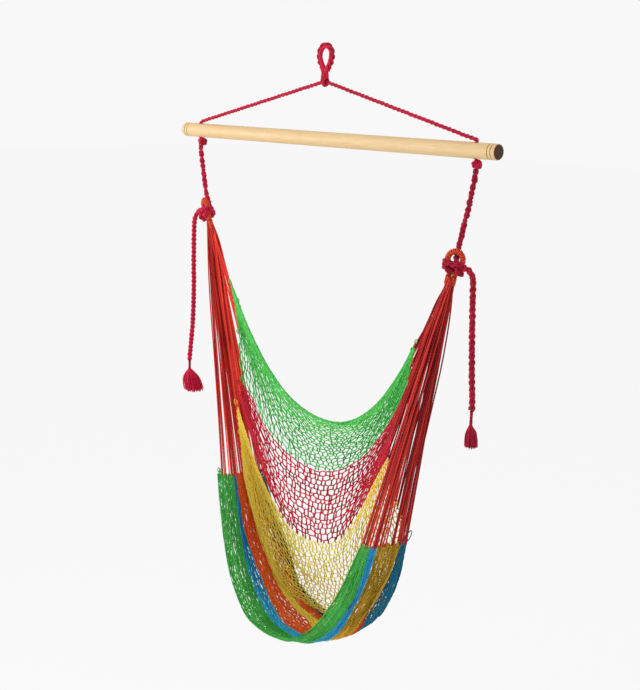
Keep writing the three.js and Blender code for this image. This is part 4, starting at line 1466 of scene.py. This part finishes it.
@dataclass(frozen=True)
class Surface:
    """The hung surface of the net.

    Places on it are u, from the left end to the right, and v, from the front edge to the back. Each
    row of borders gives, as shares, the ends' reach, the ends' drop, the middle's drop, the ends'
    depth and the middle's depth.
    """

    top_width: float = 566.0
    top_drop: float = 564.0
    height: float = 764.0
    depth: float = 152.0
    right_drop: float = 55.0
    front_power: float = 2.7
    back_power: float = 2.2
    spread: float = 1.2
    borders: tuple[tuple[float, ...], ...] = (
        (0.403, 0.575, 0.944, -0.586, -0.987), (0.389, 0.593, 0.976, -0.362, -0.625),
        (0.392, 0.597, 0.992, -0.184, -0.408), (0.396, 0.601, 1.000, -0.026, -0.197),
        (0.399, 0.605, 1.000, 0.132, 0.000), (0.405, 0.609, 0.990, 0.276, 0.211),
        (0.408, 0.611, 0.967, 0.414, 0.395), (0.415, 0.349, 0.702, -0.112, 0.066),
        (0.475, 0.105, 0.486, -0.026, 0.132), (0.500, 0.000, 0.329, -0.033, 0.092))

    def _line(self, across: int | None, drop: int, depth: int) -> SmoothLine:
        """The line of the ends or of the middle.

        Args:
            across: The column of the reach, or None for the middle.
            drop: The column of the drop.
            depth: The column of the depth.

        Returns:
            The line.
        """
        rows = [(0.0 if across is None else row[across] * self.top_width, row[depth] * self.depth,
                 -self.top_drop - row[drop] * self.height) for row in self.borders]
        return SmoothLine(rows)

    def point(self, u: Array, v: Array) -> Array:
        """Points of the surface.

        Args:
            u: Places from the left end to the right.
            v: Places from the front edge to the back.

        Returns:
            The points.
        """
        inward = 2 * np.asarray(u, float) - 1
        across = inward * (self.spread - (self.spread - 1) * inward * inward)
        end, middle = self._line(0, 1, 3).at(v), self._line(None, 2, 4).at(v)
        power = self.front_power + (self.back_power - self.front_power) * np.asarray(v, float)
        lift = np.abs(across) ** power
        return np.stack([
            across * end[..., 0],
            middle[..., 1] + (end[..., 1] - middle[..., 1]) * across * across,
            middle[..., 2] + (end[..., 2] - middle[..., 2]) * lift - across * self.right_drop / 2], axis=-1)

    def frame(self, u: Array, v: Array) -> tuple[Array, Array, Array, Array]:
        """Points with their directions.

        Args:
            u: Places from the left end to the right.
            v: Places from the front edge to the back.

        Returns:
            Points, directions along u, directions along v, and normals that point up out of the seat.
        """
        along = self.point(np.minimum(u + STEP, 1), v) - self.point(np.maximum(u - STEP, 0), v)
        up = self.point(u, np.minimum(v + STEP, 1)) - self.point(u, np.maximum(v - STEP, 0))
        along, up = unit(along), unit(up)
        return self.point(u, v), along, up, unit(np.cross(along, up))


@dataclass(frozen=True)
class Band:
    """One colour of the net: its rows of loops, how they hook and stray, and its tones, which paint light
    and shade by place.

    The dip is the lowest height of a loop's foot, the swing its hook beyond the row before it, the
    scatter and the sway how far rows lie off the surface and along it. Gather crowds the rows towards
    the back, and turned is the number of rows under the fold.
    """

    name: str
    node: str
    slot: Slot
    strands: int
    cells: int
    dip: float
    swing: float
    scatter: float
    strand: float
    gather: float = 1.0
    turned: int = 0
    sway: float = 0.0
    shades: tuple[float, float, float] = (0.5, 0.5, 0.5)


BANDS = (
    Band("green_front", "net_green_front", Slot.GREEN, 32, 50, 0.6, 0.8, 1.9, 2.7, sway=1.2,
         shades=(0.5, 0.45, 0.5)),
    Band("blue", "net_blue", Slot.BLUE, 20, 50, 0.6, 0.8, 1.8, 2.7, sway=1.2, shades=(0.2, 1.15, 0.25)),
    Band("orange_red", "net_orange_red", Slot.ORANGE_RED, 28, 50, 0.6, 0.8, 1.8, 2.7, sway=1.1,
         shades=(0.4, 1.15, 0.3)),
    Band("yellow_front", "net_yellow_front", Slot.YELLOW, 29, 50, 0.6, 0.8, 2.0, 2.7, sway=1.3,
         shades=(0.8, 0.8, -0.85)),
    Band("red", "net_red", Slot.ORANGE_RED, 18, 50, 0.6, 0.8, 2.0, 2.7, sway=1.2,
         shades=(0.4, 0.9, -0.6)),
    Band("teal", "net_teal", Slot.TEAL, 22, 50, 0.6, 0.8, 1.8, 2.7, sway=1.4, shades=(0.1, 0.2, 0.25)),
    Band("yellow_back", "net_yellow_back", Slot.YELLOW, 25, 50, 0.24, 1.2, 0.8, 2.6, turned=3,
         shades=(0.7, 1.2, 0.6)),
    Band("crimson", "net_crimson", Slot.CRIMSON, 15, 43, 0.12, 1.2, 0.9, 3.0, shades=(0.6, 0.45, 0.4)),
    Band("green_back", "net_green_back", Slot.GREEN, 25, 44, 0.34, 1.2, 1.2, 2.7, gather=1.6,
         shades=(0.6, 0.6, 0.4)),
)
# Places from left to right of each band's three tones; they are painted light and shade, brighter where the
# net is lit and darker where it is shaded.
SHADE_PLACES = (0.15, 0.45, 0.8)


def eased(values: Array, start: float, end: float) -> Array:
    """A smooth step from 0 at start to 1 at end."""
    share = np.clip((np.asarray(values, float) - start) / (end - start), 0, 1)
    return share * share * (3 - 2 * share)


@dataclass(frozen=True)
class Cloth:
    """How the bands lie on the hung surface, where the last sitter left them.

    Each row of borders tells, at the knots from left to right, how far back on the surface a band
    starts. The foot of the back is folded forwards over the seat's left half: the folded band runs
    under itself to the row of foot, turns, and comes back over the bands below it, bridging them at
    the crease. The seat's rear sags out on the right.
    """

    surface: Surface = Surface()
    knots: tuple[float, ...] = (0, 0.12, 0.18, 0.24, 0.31, 0.38, 0.45, 0.54, 0.66, 0.78, 0.86, 0.93, 1)
    borders: tuple[tuple[float, ...], ...] = (
        (0.0,) * 13,
        (0.155, 0.150, 0.151, 0.160, 0.187, 0.197, 0.205, 0.220, 0.170, 0.195, 0.213, 0.170, 0.132),
        (0.190, 0.203, 0.250, 0.296, 0.309, 0.309, 0.315, 0.370, 0.340, 0.292, 0.275, 0.262, 0.230),
        (0.289, 0.375, 0.415, 0.445, 0.480, 0.500, 0.520, 0.470, 0.370, 0.302, 0.285, 0.272, 0.240),
        (0.360, 0.440, 0.480, 0.515, 0.537, 0.556, 0.574, 0.580, 0.520, 0.435, 0.460, 0.535, 0.556),
        (0.440, 0.600, 0.660, 0.655, 0.625, 0.628, 0.632, 0.625, 0.562, 0.462, 0.464, 0.537, 0.558),
        (0.661, 0.730, 0.748, 0.715, 0.670, 0.673, 0.675, 0.668, 0.668, 0.675, 0.675, 0.672, 0.668),
        (0.768, 0.768, 0.766, 0.758, 0.757, 0.763, 0.768, 0.773, 0.782, 0.803, 0.810, 0.800, 0.785),
        (0.815, 0.844, 0.845, 0.852, 0.864, 0.874, 0.880, 0.888, 0.900, 0.900, 0.892, 0.882, 0.875),
        (1.0,) * 13)
    foot: tuple[float, ...] = (0.335, 0.385, 0.425, 0.432, 0.510, 0.600, 0.645, 0.664, 0.664, 0.661, 0.661,
                               0.661, 0.661)
    sag: tuple[float, ...] = (0, 0, 0, 0, 0, 0, 0, 4, 16, 28, 24, 12, 0)
    sag_way: tuple[float, float, float] = (1.0, 0.3, 1.0)
    sag_start: tuple[float, float] = (0.25, 0.60)
    sag_end: tuple[float, float] = (0.68, 0.80)
    folded: int = 6
    tucks: tuple[tuple[int, float, float], ...] = ((2, 0.55, 0.75), (4, 0.76, 0.84))
    tuck: float = 7.0
    turned_share: float = 0.08
    fold_lift: float = 8.0
    fold_run: float = 0.08
    fold_width: float = 0.03
    turned_lift: float = 1.5
    lap_speed: float = 320.0
    back_speed: float = 1490.0
    lap_rows: float = 7.0
    back_rows: float = 9.0
    roll_power: float = 1.5
    bridge: float = 0.4
    bridge_weight: float = 0.7
    bridge_power: float = 1.15
    forward: float = 12.0
    forward_reach: float = 0.25
    chord_reach: float = 0.15
    inset: float = 0.04
    inset_power: int = 8

    def _at(self, row: Sequence[float], u: Array) -> Array:
        """A row's values at places from left to right."""
        return np.interp(u, self.knots, row)

    def point(self, band: int, u: Array, share: Array) -> Array:
        """Points of a band.

        Args:
            band: The band's number.
            u: Places from the left end to the right.
            share: Places in the band from its front to its back, from 0 to 1.

        Returns:
            The points.
        """
        u, share = np.broadcast_arrays(np.asarray(u, float), np.asarray(share, float))
        start, end = self._at(self.borders[band], u), self._at(self.borders[band + 1], u)
        if band != self.folded:
            if band > self.folded:
                depth = np.clip((band - self.folded - 1 + share) / 2, 0, 1)
                u = u + self.inset * (1 - u) ** self.inset_power * np.sin(np.pi * depth)
            inward = sum(self.tuck * eased(u, *span) for number, *span in self.tucks if number == band)
            return self._sagged(u, start + (end - start) * share, inward)
        foot = self._at(self.foot, u)
        under = start + (foot - start) * share / self.turned_share
        place = np.clip((share - self.turned_share) / (1 - self.turned_share), 0, 1)
        lap = np.maximum(start - foot, 0) * self.lap_speed / self.lap_rows
        lap = np.maximum(lap / (lap + (end - start) * self.back_speed / self.back_rows), 1e-4)
        laid_share = foot + (start - foot) * np.clip(place / lap, 0, 1) ** self.roll_power
        over = np.where(place < lap, laid_share, start + (end - start) * (place - lap) / (1 - lap))
        behind, width = (over - start) / self.fold_run, (start - foot) / self.fold_width
        lifted = self.fold_lift * (1 - eased(behind, 0.0, 1.0)) * eased(width, 0.0, 1.0)
        laid = self._sagged(u, over, lifted)
        low, high = self._sagged(u, foot, self.fold_lift), self._sagged(u, end, 0.0)
        reach = lap + (1 - lap) * self.bridge
        far = self._sagged(u, start + (end - start) * self.bridge, 0.0)
        across = (np.clip(place / reach, 0, 1) ** self.bridge_power)[..., None]
        bridged = (self.bridge_weight * eased(width, 0.0, 1.0) * (place < reach))[..., None]
        laid = laid + (low + (far - low) * across - laid) * bridged
        weight = (1 - eased(u, 0.0, self.chord_reach))[..., None]
        laid = laid + (low + (high - low) * place[..., None] - laid) * weight
        laid[..., 1] -= self.forward * (1 - eased(u, 0.0, self.forward_reach))
        turned = self._sagged(u, under, self.turned_lift)
        return np.where((share < self.turned_share)[..., None], turned, laid)

    def _sagged(self, u: Array, place: Array, out: Array | float) -> Array:
        """Points of the surface with the sag of the seat's rear.

        Args:
            u: Places from the left end to the right.
            place: Places from the front edge to the back.
            out: The distance from the surface.

        Returns:
            The points.
        """
        drop = self._at(self.sag, u) * eased(place, *self.sag_start) * (1 - eased(place, *self.sag_end))
        point, _, _, normal = self.surface.frame(np.clip(u, 0, 1), np.clip(place, 0, 1))
        return point + normal * np.asarray(out)[..., None] - normal * drop[..., None] * self.sag_way

    def frame(self, band: int, u: Array, share: Array) -> tuple[Array, Array, Array, Array]:
        """Points of a band with their directions.

        Args:
            band: The band's number.
            u: Places from the left end to the right.
            share: Places in the band from its front to its back, from 0 to 1.

        Returns:
            Points, directions along the band and across it, and normals.
        """
        after, before = np.minimum(u + STEP, 1), np.maximum(u - STEP, 0)
        along = self.point(band, after, share) - self.point(band, before, share)
        base = np.where(share < self.turned_share, 0.02, np.clip(share, self.turned_share + 0.03, 0.97))
        up = self.point(band, u, base + 0.02) - self.point(band, u, base - 0.02)
        along, up = unit(along), unit(up)
        return self.point(band, u, share), along, up, unit(np.cross(along, up))


# One loop of a row: place along the row in cells, height from the row to the row before it, place in
# front of the net in strands, and share of the reach beyond the row before it.
LOOP = np.array([(-0.10, 0.0, 0.1, 0.0), (-0.012, 0.30, 0.15, 0.0), (-0.03, 0.85, 0.4, 0.3),
                 (0.0, 1.0, 0.0, 1.0), (0.03, 0.85, -0.4, 0.3), (0.012, 0.30, -0.15, 0.0),
                 (0.10, 0.0, -0.1, 0.0)])
LEG_THICKNESS = np.array([1.0, 0.72, 0.72, 0.9, 0.72, 0.72, 1.0])

# Slack loops at the edges of the bands: place from left to right, share of the band, length.
STRAY_LOOPS = {
    "green_back": ((0.0, 0.97, 9.0), (0.065, 1.0, 9.0), (0.075, 0.96, 8.0), (0.0, 0.35, 8.0),
                   (1.0, 0.98, 11.0), (1.0, 0.78, 9.0), (0.97, 1.0, 7.0), (1.0, 0.45, 8.0)),
    "crimson": ((0.0, 0.92, 12.0), (0.0, 0.60, 9.0), (0.0, 0.25, 9.0), (1.0, 0.92, 10.0),
                (1.0, 0.55, 10.0), (1.0, 0.2, 9.0)),
    "yellow_back": ((0.0, 0.98, 14.0), (0.0, 0.80, 10.0), (0.0, 0.60, 9.0), (1.0, 0.9, 9.0)),
    "teal": ((1.0, 0.95, 27.0), (1.0, 0.8, 16.0)),
    "green_front": ((0.0, 0.05, 9.0), (0.0, 0.2, 7.0)),
}


@dataclass(frozen=True)
class Net:
    """The woven bed: rows of loops, each hooked round the row before it."""

    cloth: Cloth = Cloth()
    shift: float = 0.22
    rise: float = 0.22
    wander: float = 0.8
    fading: float = 14.0
    edge_height: float = 0.2
    edge_reach: float = 0.15
    trim: float = 0.010
    tone_spread: float = 0.28
    tone_wave: float = 0.12
    seed: int = 77

    def rows(self, band: Band) -> Array:
        """Where a band's rows run.

        Args:
            band: The band.

        Returns:
            Shares of the band from its front to its back.
        """
        share = (np.arange(band.strands) + 0.5) / band.strands
        if band.turned:
            split = self.cloth.turned_share
            low = (np.arange(band.turned) + 0.5) / band.turned * split
            rest = band.strands - band.turned
            share = np.concatenate([low, split + (np.arange(rest) + 0.5) / rest * (1 - split)])
        return 1 - (1 - share) ** band.gather

    def build(self) -> None:
        """Builds each band as one piece."""
        draw = np.random.default_rng(self.seed)
        for number, band in enumerate(BANDS):
            work = ThreadWork(f"net_strands_{band.name}", band.slot, sides=5, seed=number + 1)
            touches = self._touches(band, draw)
            lines, places = [], []
            for row in range(band.strands):
                line, place = self._row(number, row, touches[row], touches[row + 1], draw)
                lines.append(line)
                places.append(place)
            work.add(self._joined(band, lines, places, draw)).add(self._strays(number, draw))
            dressed(work.piece(), Body.SLING, band.slot, band.node)

    def _touches(self, band: Band, draw: np.random.Generator) -> list[Array]:
        """Where the loops of each row hook round the row before it.

        Args:
            band: The band.
            draw: The source of random numbers.

        Returns:
            For each row, and for the row behind the last one, places along the band and across it.
        """
        rows = self.rows(band)
        lines = np.concatenate([[0.0], (rows[1:] + rows[:-1]) / 2, [1.0]])
        touches = []
        for row, (line, gap) in enumerate(zip(lines, np.gradient(lines))):
            place = (np.arange(band.cells + 1 - row % 2) + 0.5 * (row % 2)) / band.cells
            fade = self._fade(place)
            moved = np.clip(draw.normal(0, 1, (len(place), 2)), -2, 2)
            slow = (0.35 * np.sin(TURN * (1.7 * place + 0.053 * row))
                    + 0.3 * np.sin(TURN * (3.9 * place - 0.09 * row)))
            along = place + fade * (self.shift * moved[:, 0] + self.wander * slow) / band.cells
            across = line + fade * self.rise * gap * moved[:, 1]
            touches.append(np.clip(np.stack([along, across], axis=1), 0, 1))
        return touches

    def _fade(self, place: Array) -> Array:
        """1 over most of a row, down to 0 at its ends, where it can't stray."""
        return np.clip(np.minimum(place, 1 - place) * self.fading, 0, 1)

    def _row(self, number: int, row: int, hooks: Array, held: Array,
             draw: np.random.Generator) -> tuple[Array, Array]:
        """One row of loops from the left end to the right.

        Args:
            number: Its band's number.
            row: Its number in the band.
            hooks: Where its loops hook round the row before it.
            held: Where the next row's loops hold it.
            draw: The source of random numbers.

        Returns:
            The row's points, and their places from left to right.
        """
        band, edge = BANDS[number], not (number or row)
        count = len(hooks)
        before = np.clip(np.arange(count) - 1 + row % 2, 0, len(held) - 1)
        after = np.clip(np.arange(count) + row % 2, 0, len(held) - 1)
        foot = (held[before, 1] + held[after, 1]) / 2
        height = band.dip + (1 - band.dip) * LOOP[:, 1]
        loops = np.empty((count, len(LOOP), 4))
        loops[..., 0] = hooks[:, :1] + LOOP[:, 0] / band.cells
        loops[..., 1] = foot[:, None] + (hooks[:, 1] - foot)[:, None] * height * (
            self.edge_height if edge else 1.0)
        loops[..., 2:] = LOOP[:, 2:]
        rests = np.concatenate([held, np.zeros_like(held)], axis=1)[:, None]
        if row % 2:
            path = np.vstack([np.concatenate([rests[:-1], loops], axis=1).reshape(-1, 4), rests[-1]])
        else:
            path = np.vstack([np.concatenate([loops[:-1], rests], axis=1).reshape(-1, 4), loops[-1]])
        start, end = draw.uniform(0, self.trim), 1 - draw.uniform(0, self.trim)
        u = start + (end - start) * np.clip(path[:, 0], 0, 1)
        point, _, up, normal = self.cloth.frame(number, u, path[:, 1])
        phases = draw.uniform(0, TURN, 4)
        drift = sum(np.sin(TURN * k * u + phase) for k, phase in zip((1.3, 2.9, 5.3, 8.1), phases)) / 2
        lift = (draw.uniform(-0.6, 0.6) + 0.5 * drift) * band.scatter
        out = band.strand * path[:, 2] + lift * (0.35 + 0.65 * self._fade(u))
        sway = band.sway * np.sin(TURN * (19 * u + phases[0] + 0.4 * drift))
        across = (self.edge_reach if edge else 1.0) * (sway - band.swing * path[:, 3])
        return point + up * across[:, None] + normal * out[:, None], u

    def _strays(self, number: int, draw: np.random.Generator) -> list[Thread]:
        """The slack loops that stand out from a band's edges.

        Args:
            number: The band's number.
            draw: The source of random numbers.

        Returns:
            One thread for each loop.
        """
        band = BANDS[number]
        turn = np.linspace(0, TURN, 17)[:, None]
        threads = []
        for u, share, length in STRAY_LOOPS.get(band.name, ()):
            point, along, up, normal = (value[0] for value in
                                        self.cloth.frame(number, np.array([u]), np.array([share])))
            away = up if 0.02 < u < 0.98 else along * (2 * u - 1)
            away = unit(away + up * draw.uniform(-0.5, 0.5) + normal * draw.uniform(-0.2, 0.2))
            side = np.cross(normal, away)
            ring = point + length / 2 * (0.6 * np.sin(turn) * side + (1 - np.cos(turn)) * away)
            threads.append(Thread(ring, band.strand * 0.42, draw.uniform(0.2, 0.8)))
        return threads

    def _joined(self, band: Band, lines: list[Array], places: list[Array],
                draw: np.random.Generator) -> list[Thread]:
        """Joins the rows of a band by turns at their ends, one cord back and forth.

        Args:
            band: The band.
            lines: The rows' points.
            places: The same points' places from left to right.
            draw: The source of random numbers.

        Returns:
            The one thread.
        """
        points, shades, radii = [], [], []
        for number, (line, place) in enumerate(zip(lines, places)):
            cell = np.concatenate([[1.0], LEG_THICKNESS] if number % 2 else [LEG_THICKNESS, [1.0]])
            radius = np.resize(cell, len(line)) * band.strand / 2
            # Painted light and shade by place along the band, with a random tone for each row.
            tone = np.interp(place, SHADE_PLACES, band.shades) + self.tone_spread * draw.normal()
            tone = tone + self.tone_wave * np.sin(TURN * (6.1 * place + draw.uniform(0, 1)))
            if number % 2:
                line, tone, radius = line[::-1], tone[::-1], radius[::-1]
            if points:
                last, nearest = points[-1], line[0]
                beyond = unit(last[-1] - last[-9]) * draw.uniform(2.5, 6.0)
                middle = (last[-1] + nearest) / 2 + beyond
                points.append(np.stack([last[-1] + beyond * 0.55, middle, nearest + beyond * 0.55]))
                shades.append(np.full(3, tone[0]))
                radii.append(np.full(3, band.strand / 2))
            radii.append(radius)
            points.append(line)
            shades.append(tone)
        tones = np.clip(np.concatenate(shades), -1, 1.2)
        return [Thread(np.vstack(points), np.concatenate(radii), tones)]


@dataclass(frozen=True)
class EndStrings:
    """The strings from a wrapped neck to the ends of the net."""

    frame: SlingSide
    cloth: Cloth = Cloth()
    bundles: tuple[int, int] = (21, 27)
    evenness: tuple[float, float] = (0.15, 0.5)
    bundle: int = 4
    string: float = 3.1
    head_radius: float = 9.2
    # The right side's lower tone is painted shade.
    tones: tuple[float, float] = (0.97, 0.28)
    tone_spread: float = 0.45
    scatter: float = 0.28
    overlap: float = 4.0
    neck_head: float = -62.0
    neck_foot: float = -76.0
    bow: float = 5.0
    side_bow: float = 6.0
    head_span: float = 0.2

    def build(self) -> None:
        """Builds the strings of one side."""
        draw = np.random.default_rng(200 + self.frame.index)
        work = ThreadWork(f"end_string_fan_{self.frame.name}", Slot.RED_STRING, sides=6,
                          stray=1.6, stray_size=9.0, seed=9 + self.frame.index)
        end = 0.0 if self.frame.side < 0 else 1.0
        fold = self.cloth.turned_share + 0.02
        places, tips = [], []
        evened = self._evened(end)
        bundles = self.bundles[self.frame.index]
        for index in range(bundles * self.bundle):
            place = (index // self.bundle + 0.5 + draw.normal(0, self.scatter)) / bundles
            place = min(max(evened(place), 0.004), 0.996) * len(BANDS)
            band = int(place)
            share = max(place - band, fold) if band == self.cloth.folded else place - band
            tip, along, _, normal = self.cloth.frame(band, np.array([end]), np.array([share]))
            places.append(place / len(BANDS))
            tip = tip - along * self.frame.side * self.overlap + normal * draw.uniform(-2.5, 2.5)
            tips.append(tip[0])
        tips = np.array(tips)
        head, neck = self.frame.world([[0, 0, self.neck_head], [0, 0, self.neck_foot]])
        axis = unit(tips.mean(axis=0) - neck)
        fan = tips[-1] - tips[0]
        fan = unit(fan - axis * (fan @ axis))
        side_way = np.cross(axis, fan)
        share = np.concatenate([np.linspace(0, self.head_span, 11)[:-1],
                                np.linspace(self.head_span, 1, 15)])[:, None]
        for place, tip in zip(places, tips):
            reach = 2 * place - 1
            room = math.sqrt(max(1 - reach * reach, 0.05))
            deep = draw.uniform(-1, 1)
            start = neck + self.head_radius * (fan * reach * 0.95 + side_way * deep * room)
            inside = start + (head - neck) - 0.35 * (start - neck)
            bow = draw.normal(0, self.bow, 3) * [0.6, 1.0, 0.3] + side_way * deep * self.side_bow
            line = start + (tip - start) * share + bow * (share * (1 - share) ** 3 * 6)
            # Painted shade: the right side's strings, and those on the deep side of the fan, are drawn
            # darker.
            tone = draw.normal(self.tones[self.frame.index], self.tone_spread) - 0.25 * (deep > 0.3)
            tone = float(np.clip(tone, -0.3, 1.2))
            work.add([Thread(np.vstack([inside, line]), self.string / 2, tone)])
        dressed(work.piece(), Body.SLING, Slot.RED_STRING, f"end_strings_{self.frame.name}")

    def _evened(self, end: float) -> Callable[[float], float]:
        """Spreads the strings, between an even count for each band and an even distance.

        Args:
            end: The net's end, 0 on the left and 1 on the right.

        Returns:
            A function from a string's place, 0 to 1, to its place in the bands.
        """
        shares = np.linspace(self.cloth.turned_share + 0.02, 1, 8)
        line = np.vstack([self.cloth.point(band, np.full(8, end), shares) for band in range(len(BANDS))])
        run = np.concatenate([[0], np.cumsum(np.linalg.norm(np.diff(line, axis=0), axis=1))])
        share = self.evenness[self.frame.index]
        run = share * run / run[-1] + (1 - share) * np.linspace(0, 1, len(run))
        spots = np.concatenate([band + shares for band in range(len(BANDS))]) / len(BANDS)
        return lambda place: float(np.interp(place, run, spots))


# The set.


@dataclass(frozen=True)
class Studio:
    """The camera, the lamps, the world and the pale floor."""

    camera_place: tuple[float, float, float] = (1.86237, -1.97493, -0.06536)
    azimuth: float = 43.19
    pitch: float = 12.04
    roll: float = 1.73
    focal_pixels: float = 1243.0
    image_height: float = 690.0
    sensor: float = 36.0
    floor_height: float = -2.3
    floor_size: float = 30.0
    floor_share: float = 0.92
    backdrop: Colour = (248, 248, 248)
    world_colour: Colour = (255, 255, 255)
    world_light: float = 0.88
    lamps: tuple[tuple[str, tuple[float, float, float], float, float], ...] = (
        ("key", (-1.9, -2.1, -0.2), 54.0, 1.3),
        ("top", (0.2, -1.4, 2.1), 8.0, 1.6),
        ("back", (0.4, 2.6, 1.2), 12.0, 2.0))
    lamp_aim: tuple[float, float, float] = (0.0, 0.0, -0.7)

    def build(self) -> None:
        """Builds the set."""
        view = bpy.context.scene.view_settings
        view.view_transform = "Standard"
        self._camera()
        self._world()
        self._floor()
        for name, place, power, size in self.lamps:
            self._lamp(name, place, power, size)

    def _camera(self) -> None:
        """The camera of the photograph."""
        azimuth, pitch, roll = (math.radians(a) for a in (self.azimuth, self.pitch, self.roll))
        right = Vector((math.cos(azimuth), math.sin(azimuth), 0))
        forward = Vector((-math.sin(azimuth) * math.cos(pitch), math.cos(azimuth) * math.cos(pitch),
                          -math.sin(pitch)))
        up = right.cross(forward)
        across = right * math.cos(roll) + up * math.sin(roll)
        upward = up * math.cos(roll) - right * math.sin(roll)
        data = bpy.data.cameras.new("camera")
        data.sensor_width = self.sensor
        data.lens = self.focal_pixels / self.image_height * self.sensor
        data.clip_start, data.clip_end = 0.05, 60.0
        camera = bpy.data.objects.new("camera", data)
        bpy.context.scene.collection.objects.link(camera)
        turn = Matrix((across, upward, -forward)).transposed()
        camera.matrix_world = Matrix.Translation(self.camera_place) @ turn.to_4x4()
        bpy.context.scene.camera = camera

    @staticmethod
    def _seen(graph: Graph) -> Term:
        """Tells where the camera, gloss or glass looks at a surface, apart from where it gives light.

        Args:
            graph: The graph of the world or of the floor's material.

        Returns:
            1 for such rays and 0 for the others.
        """
        path = graph.node("ShaderNodeLightPath")
        camera, gloss, glass = (Term(graph, path.outputs[name]) for name in (
            "Is Camera Ray", "Is Glossy Ray", "Is Transmission Ray"))
        return camera.math("MAXIMUM", gloss).math("MAXIMUM", glass)

    def _world(self) -> None:
        """Soft light from all round, and a white background for the camera."""
        world = bpy.data.worlds.new("studio")
        bpy.context.scene.world = world
        world.use_nodes = True
        world.node_tree.nodes.clear()
        graph = Graph(world.node_tree)
        light = graph.term("ShaderNodeBackground",
                           inputs={"Color": linear(self.world_colour), "Strength": self.world_light})
        white = graph.term("ShaderNodeBackground",
                           inputs={"Color": linear(self.backdrop), "Strength": 1.0})
        mixed = graph.term("ShaderNodeMixShader", inputs={0: self._seen(graph), 1: light, 2: white})
        graph.node("ShaderNodeOutputWorld", inputs={"Surface": mixed})

    def _floor(self) -> None:
        """A wide pale floor below the chair, which takes a faint shadow."""
        size, height = self.floor_size, self.floor_height
        mesh = bpy.data.meshes.new("floor")
        mesh.from_pydata([(-size, -size, height), (size, -size, height), (size, size, height),
                          (-size, size, height)], [], [(0, 1, 2, 3)])
        floor = bpy.data.objects.new("floor", mesh)
        bpy.context.scene.collection.objects.link(floor)
        material = bpy.data.materials.new("floor_paint")
        material.use_nodes = True
        material.node_tree.nodes.clear()
        graph = Graph(material.node_tree)
        seen = self._seen(graph) * self.floor_share
        matt = graph.term("ShaderNodeBsdfDiffuse", inputs={"Color": linear(self.backdrop)})
        white = graph.term("ShaderNodeEmission",
                           inputs={"Color": linear(self.backdrop), "Strength": 1.0})
        mixed = graph.term("ShaderNodeMixShader", inputs={0: seen, 1: matt, 2: white})
        graph.node("ShaderNodeOutputMaterial", inputs={"Surface": mixed})
        mesh.materials.append(material)
        floor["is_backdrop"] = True

    def _lamp(self, name: str, place: tuple[float, float, float], power: float, size: float) -> None:
        """A square lamp that points at the chair's middle.

        Args:
            name: Its name.
            place: Its place in metres.
            power: Its power in watts.
            size: Its side in metres.
        """
        data = bpy.data.lights.new(name, "AREA")
        data.energy, data.size = power, size
        lamp = bpy.data.objects.new(name, data)
        bpy.context.scene.collection.objects.link(lamp)
        aim = Vector(self.lamp_aim) - Vector(place)
        lamp.matrix_world = Matrix.Translation(place) @ aim.to_track_quat("-Z", "Y").to_matrix().to_4x4()


def corners(box: tuple[Vector, Vector]) -> list[list[float]]:
    """A box's corners as plain lists."""
    return [list(corner) for corner in box]


def main() -> None:
    """Builds the set and the chair's pieces in order."""
    logging.basicConfig(level=logging.INFO, format="%(name)s: %(message)s")
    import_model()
    cad_box = corners(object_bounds())
    Studio().build()
    sides = [SlingSide(name, side) for name, side in SIDES]
    for side in sides:
        Tail(side).build()
    HangingEye().build()
    Spreader().build()
    for side in sides:
        SlingEnd(side).build()
        EndStrings(side).build()
    Net().build()
    {"cad": cad_box, "visual": corners(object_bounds())}


if __name__ == "__main__":
    main()
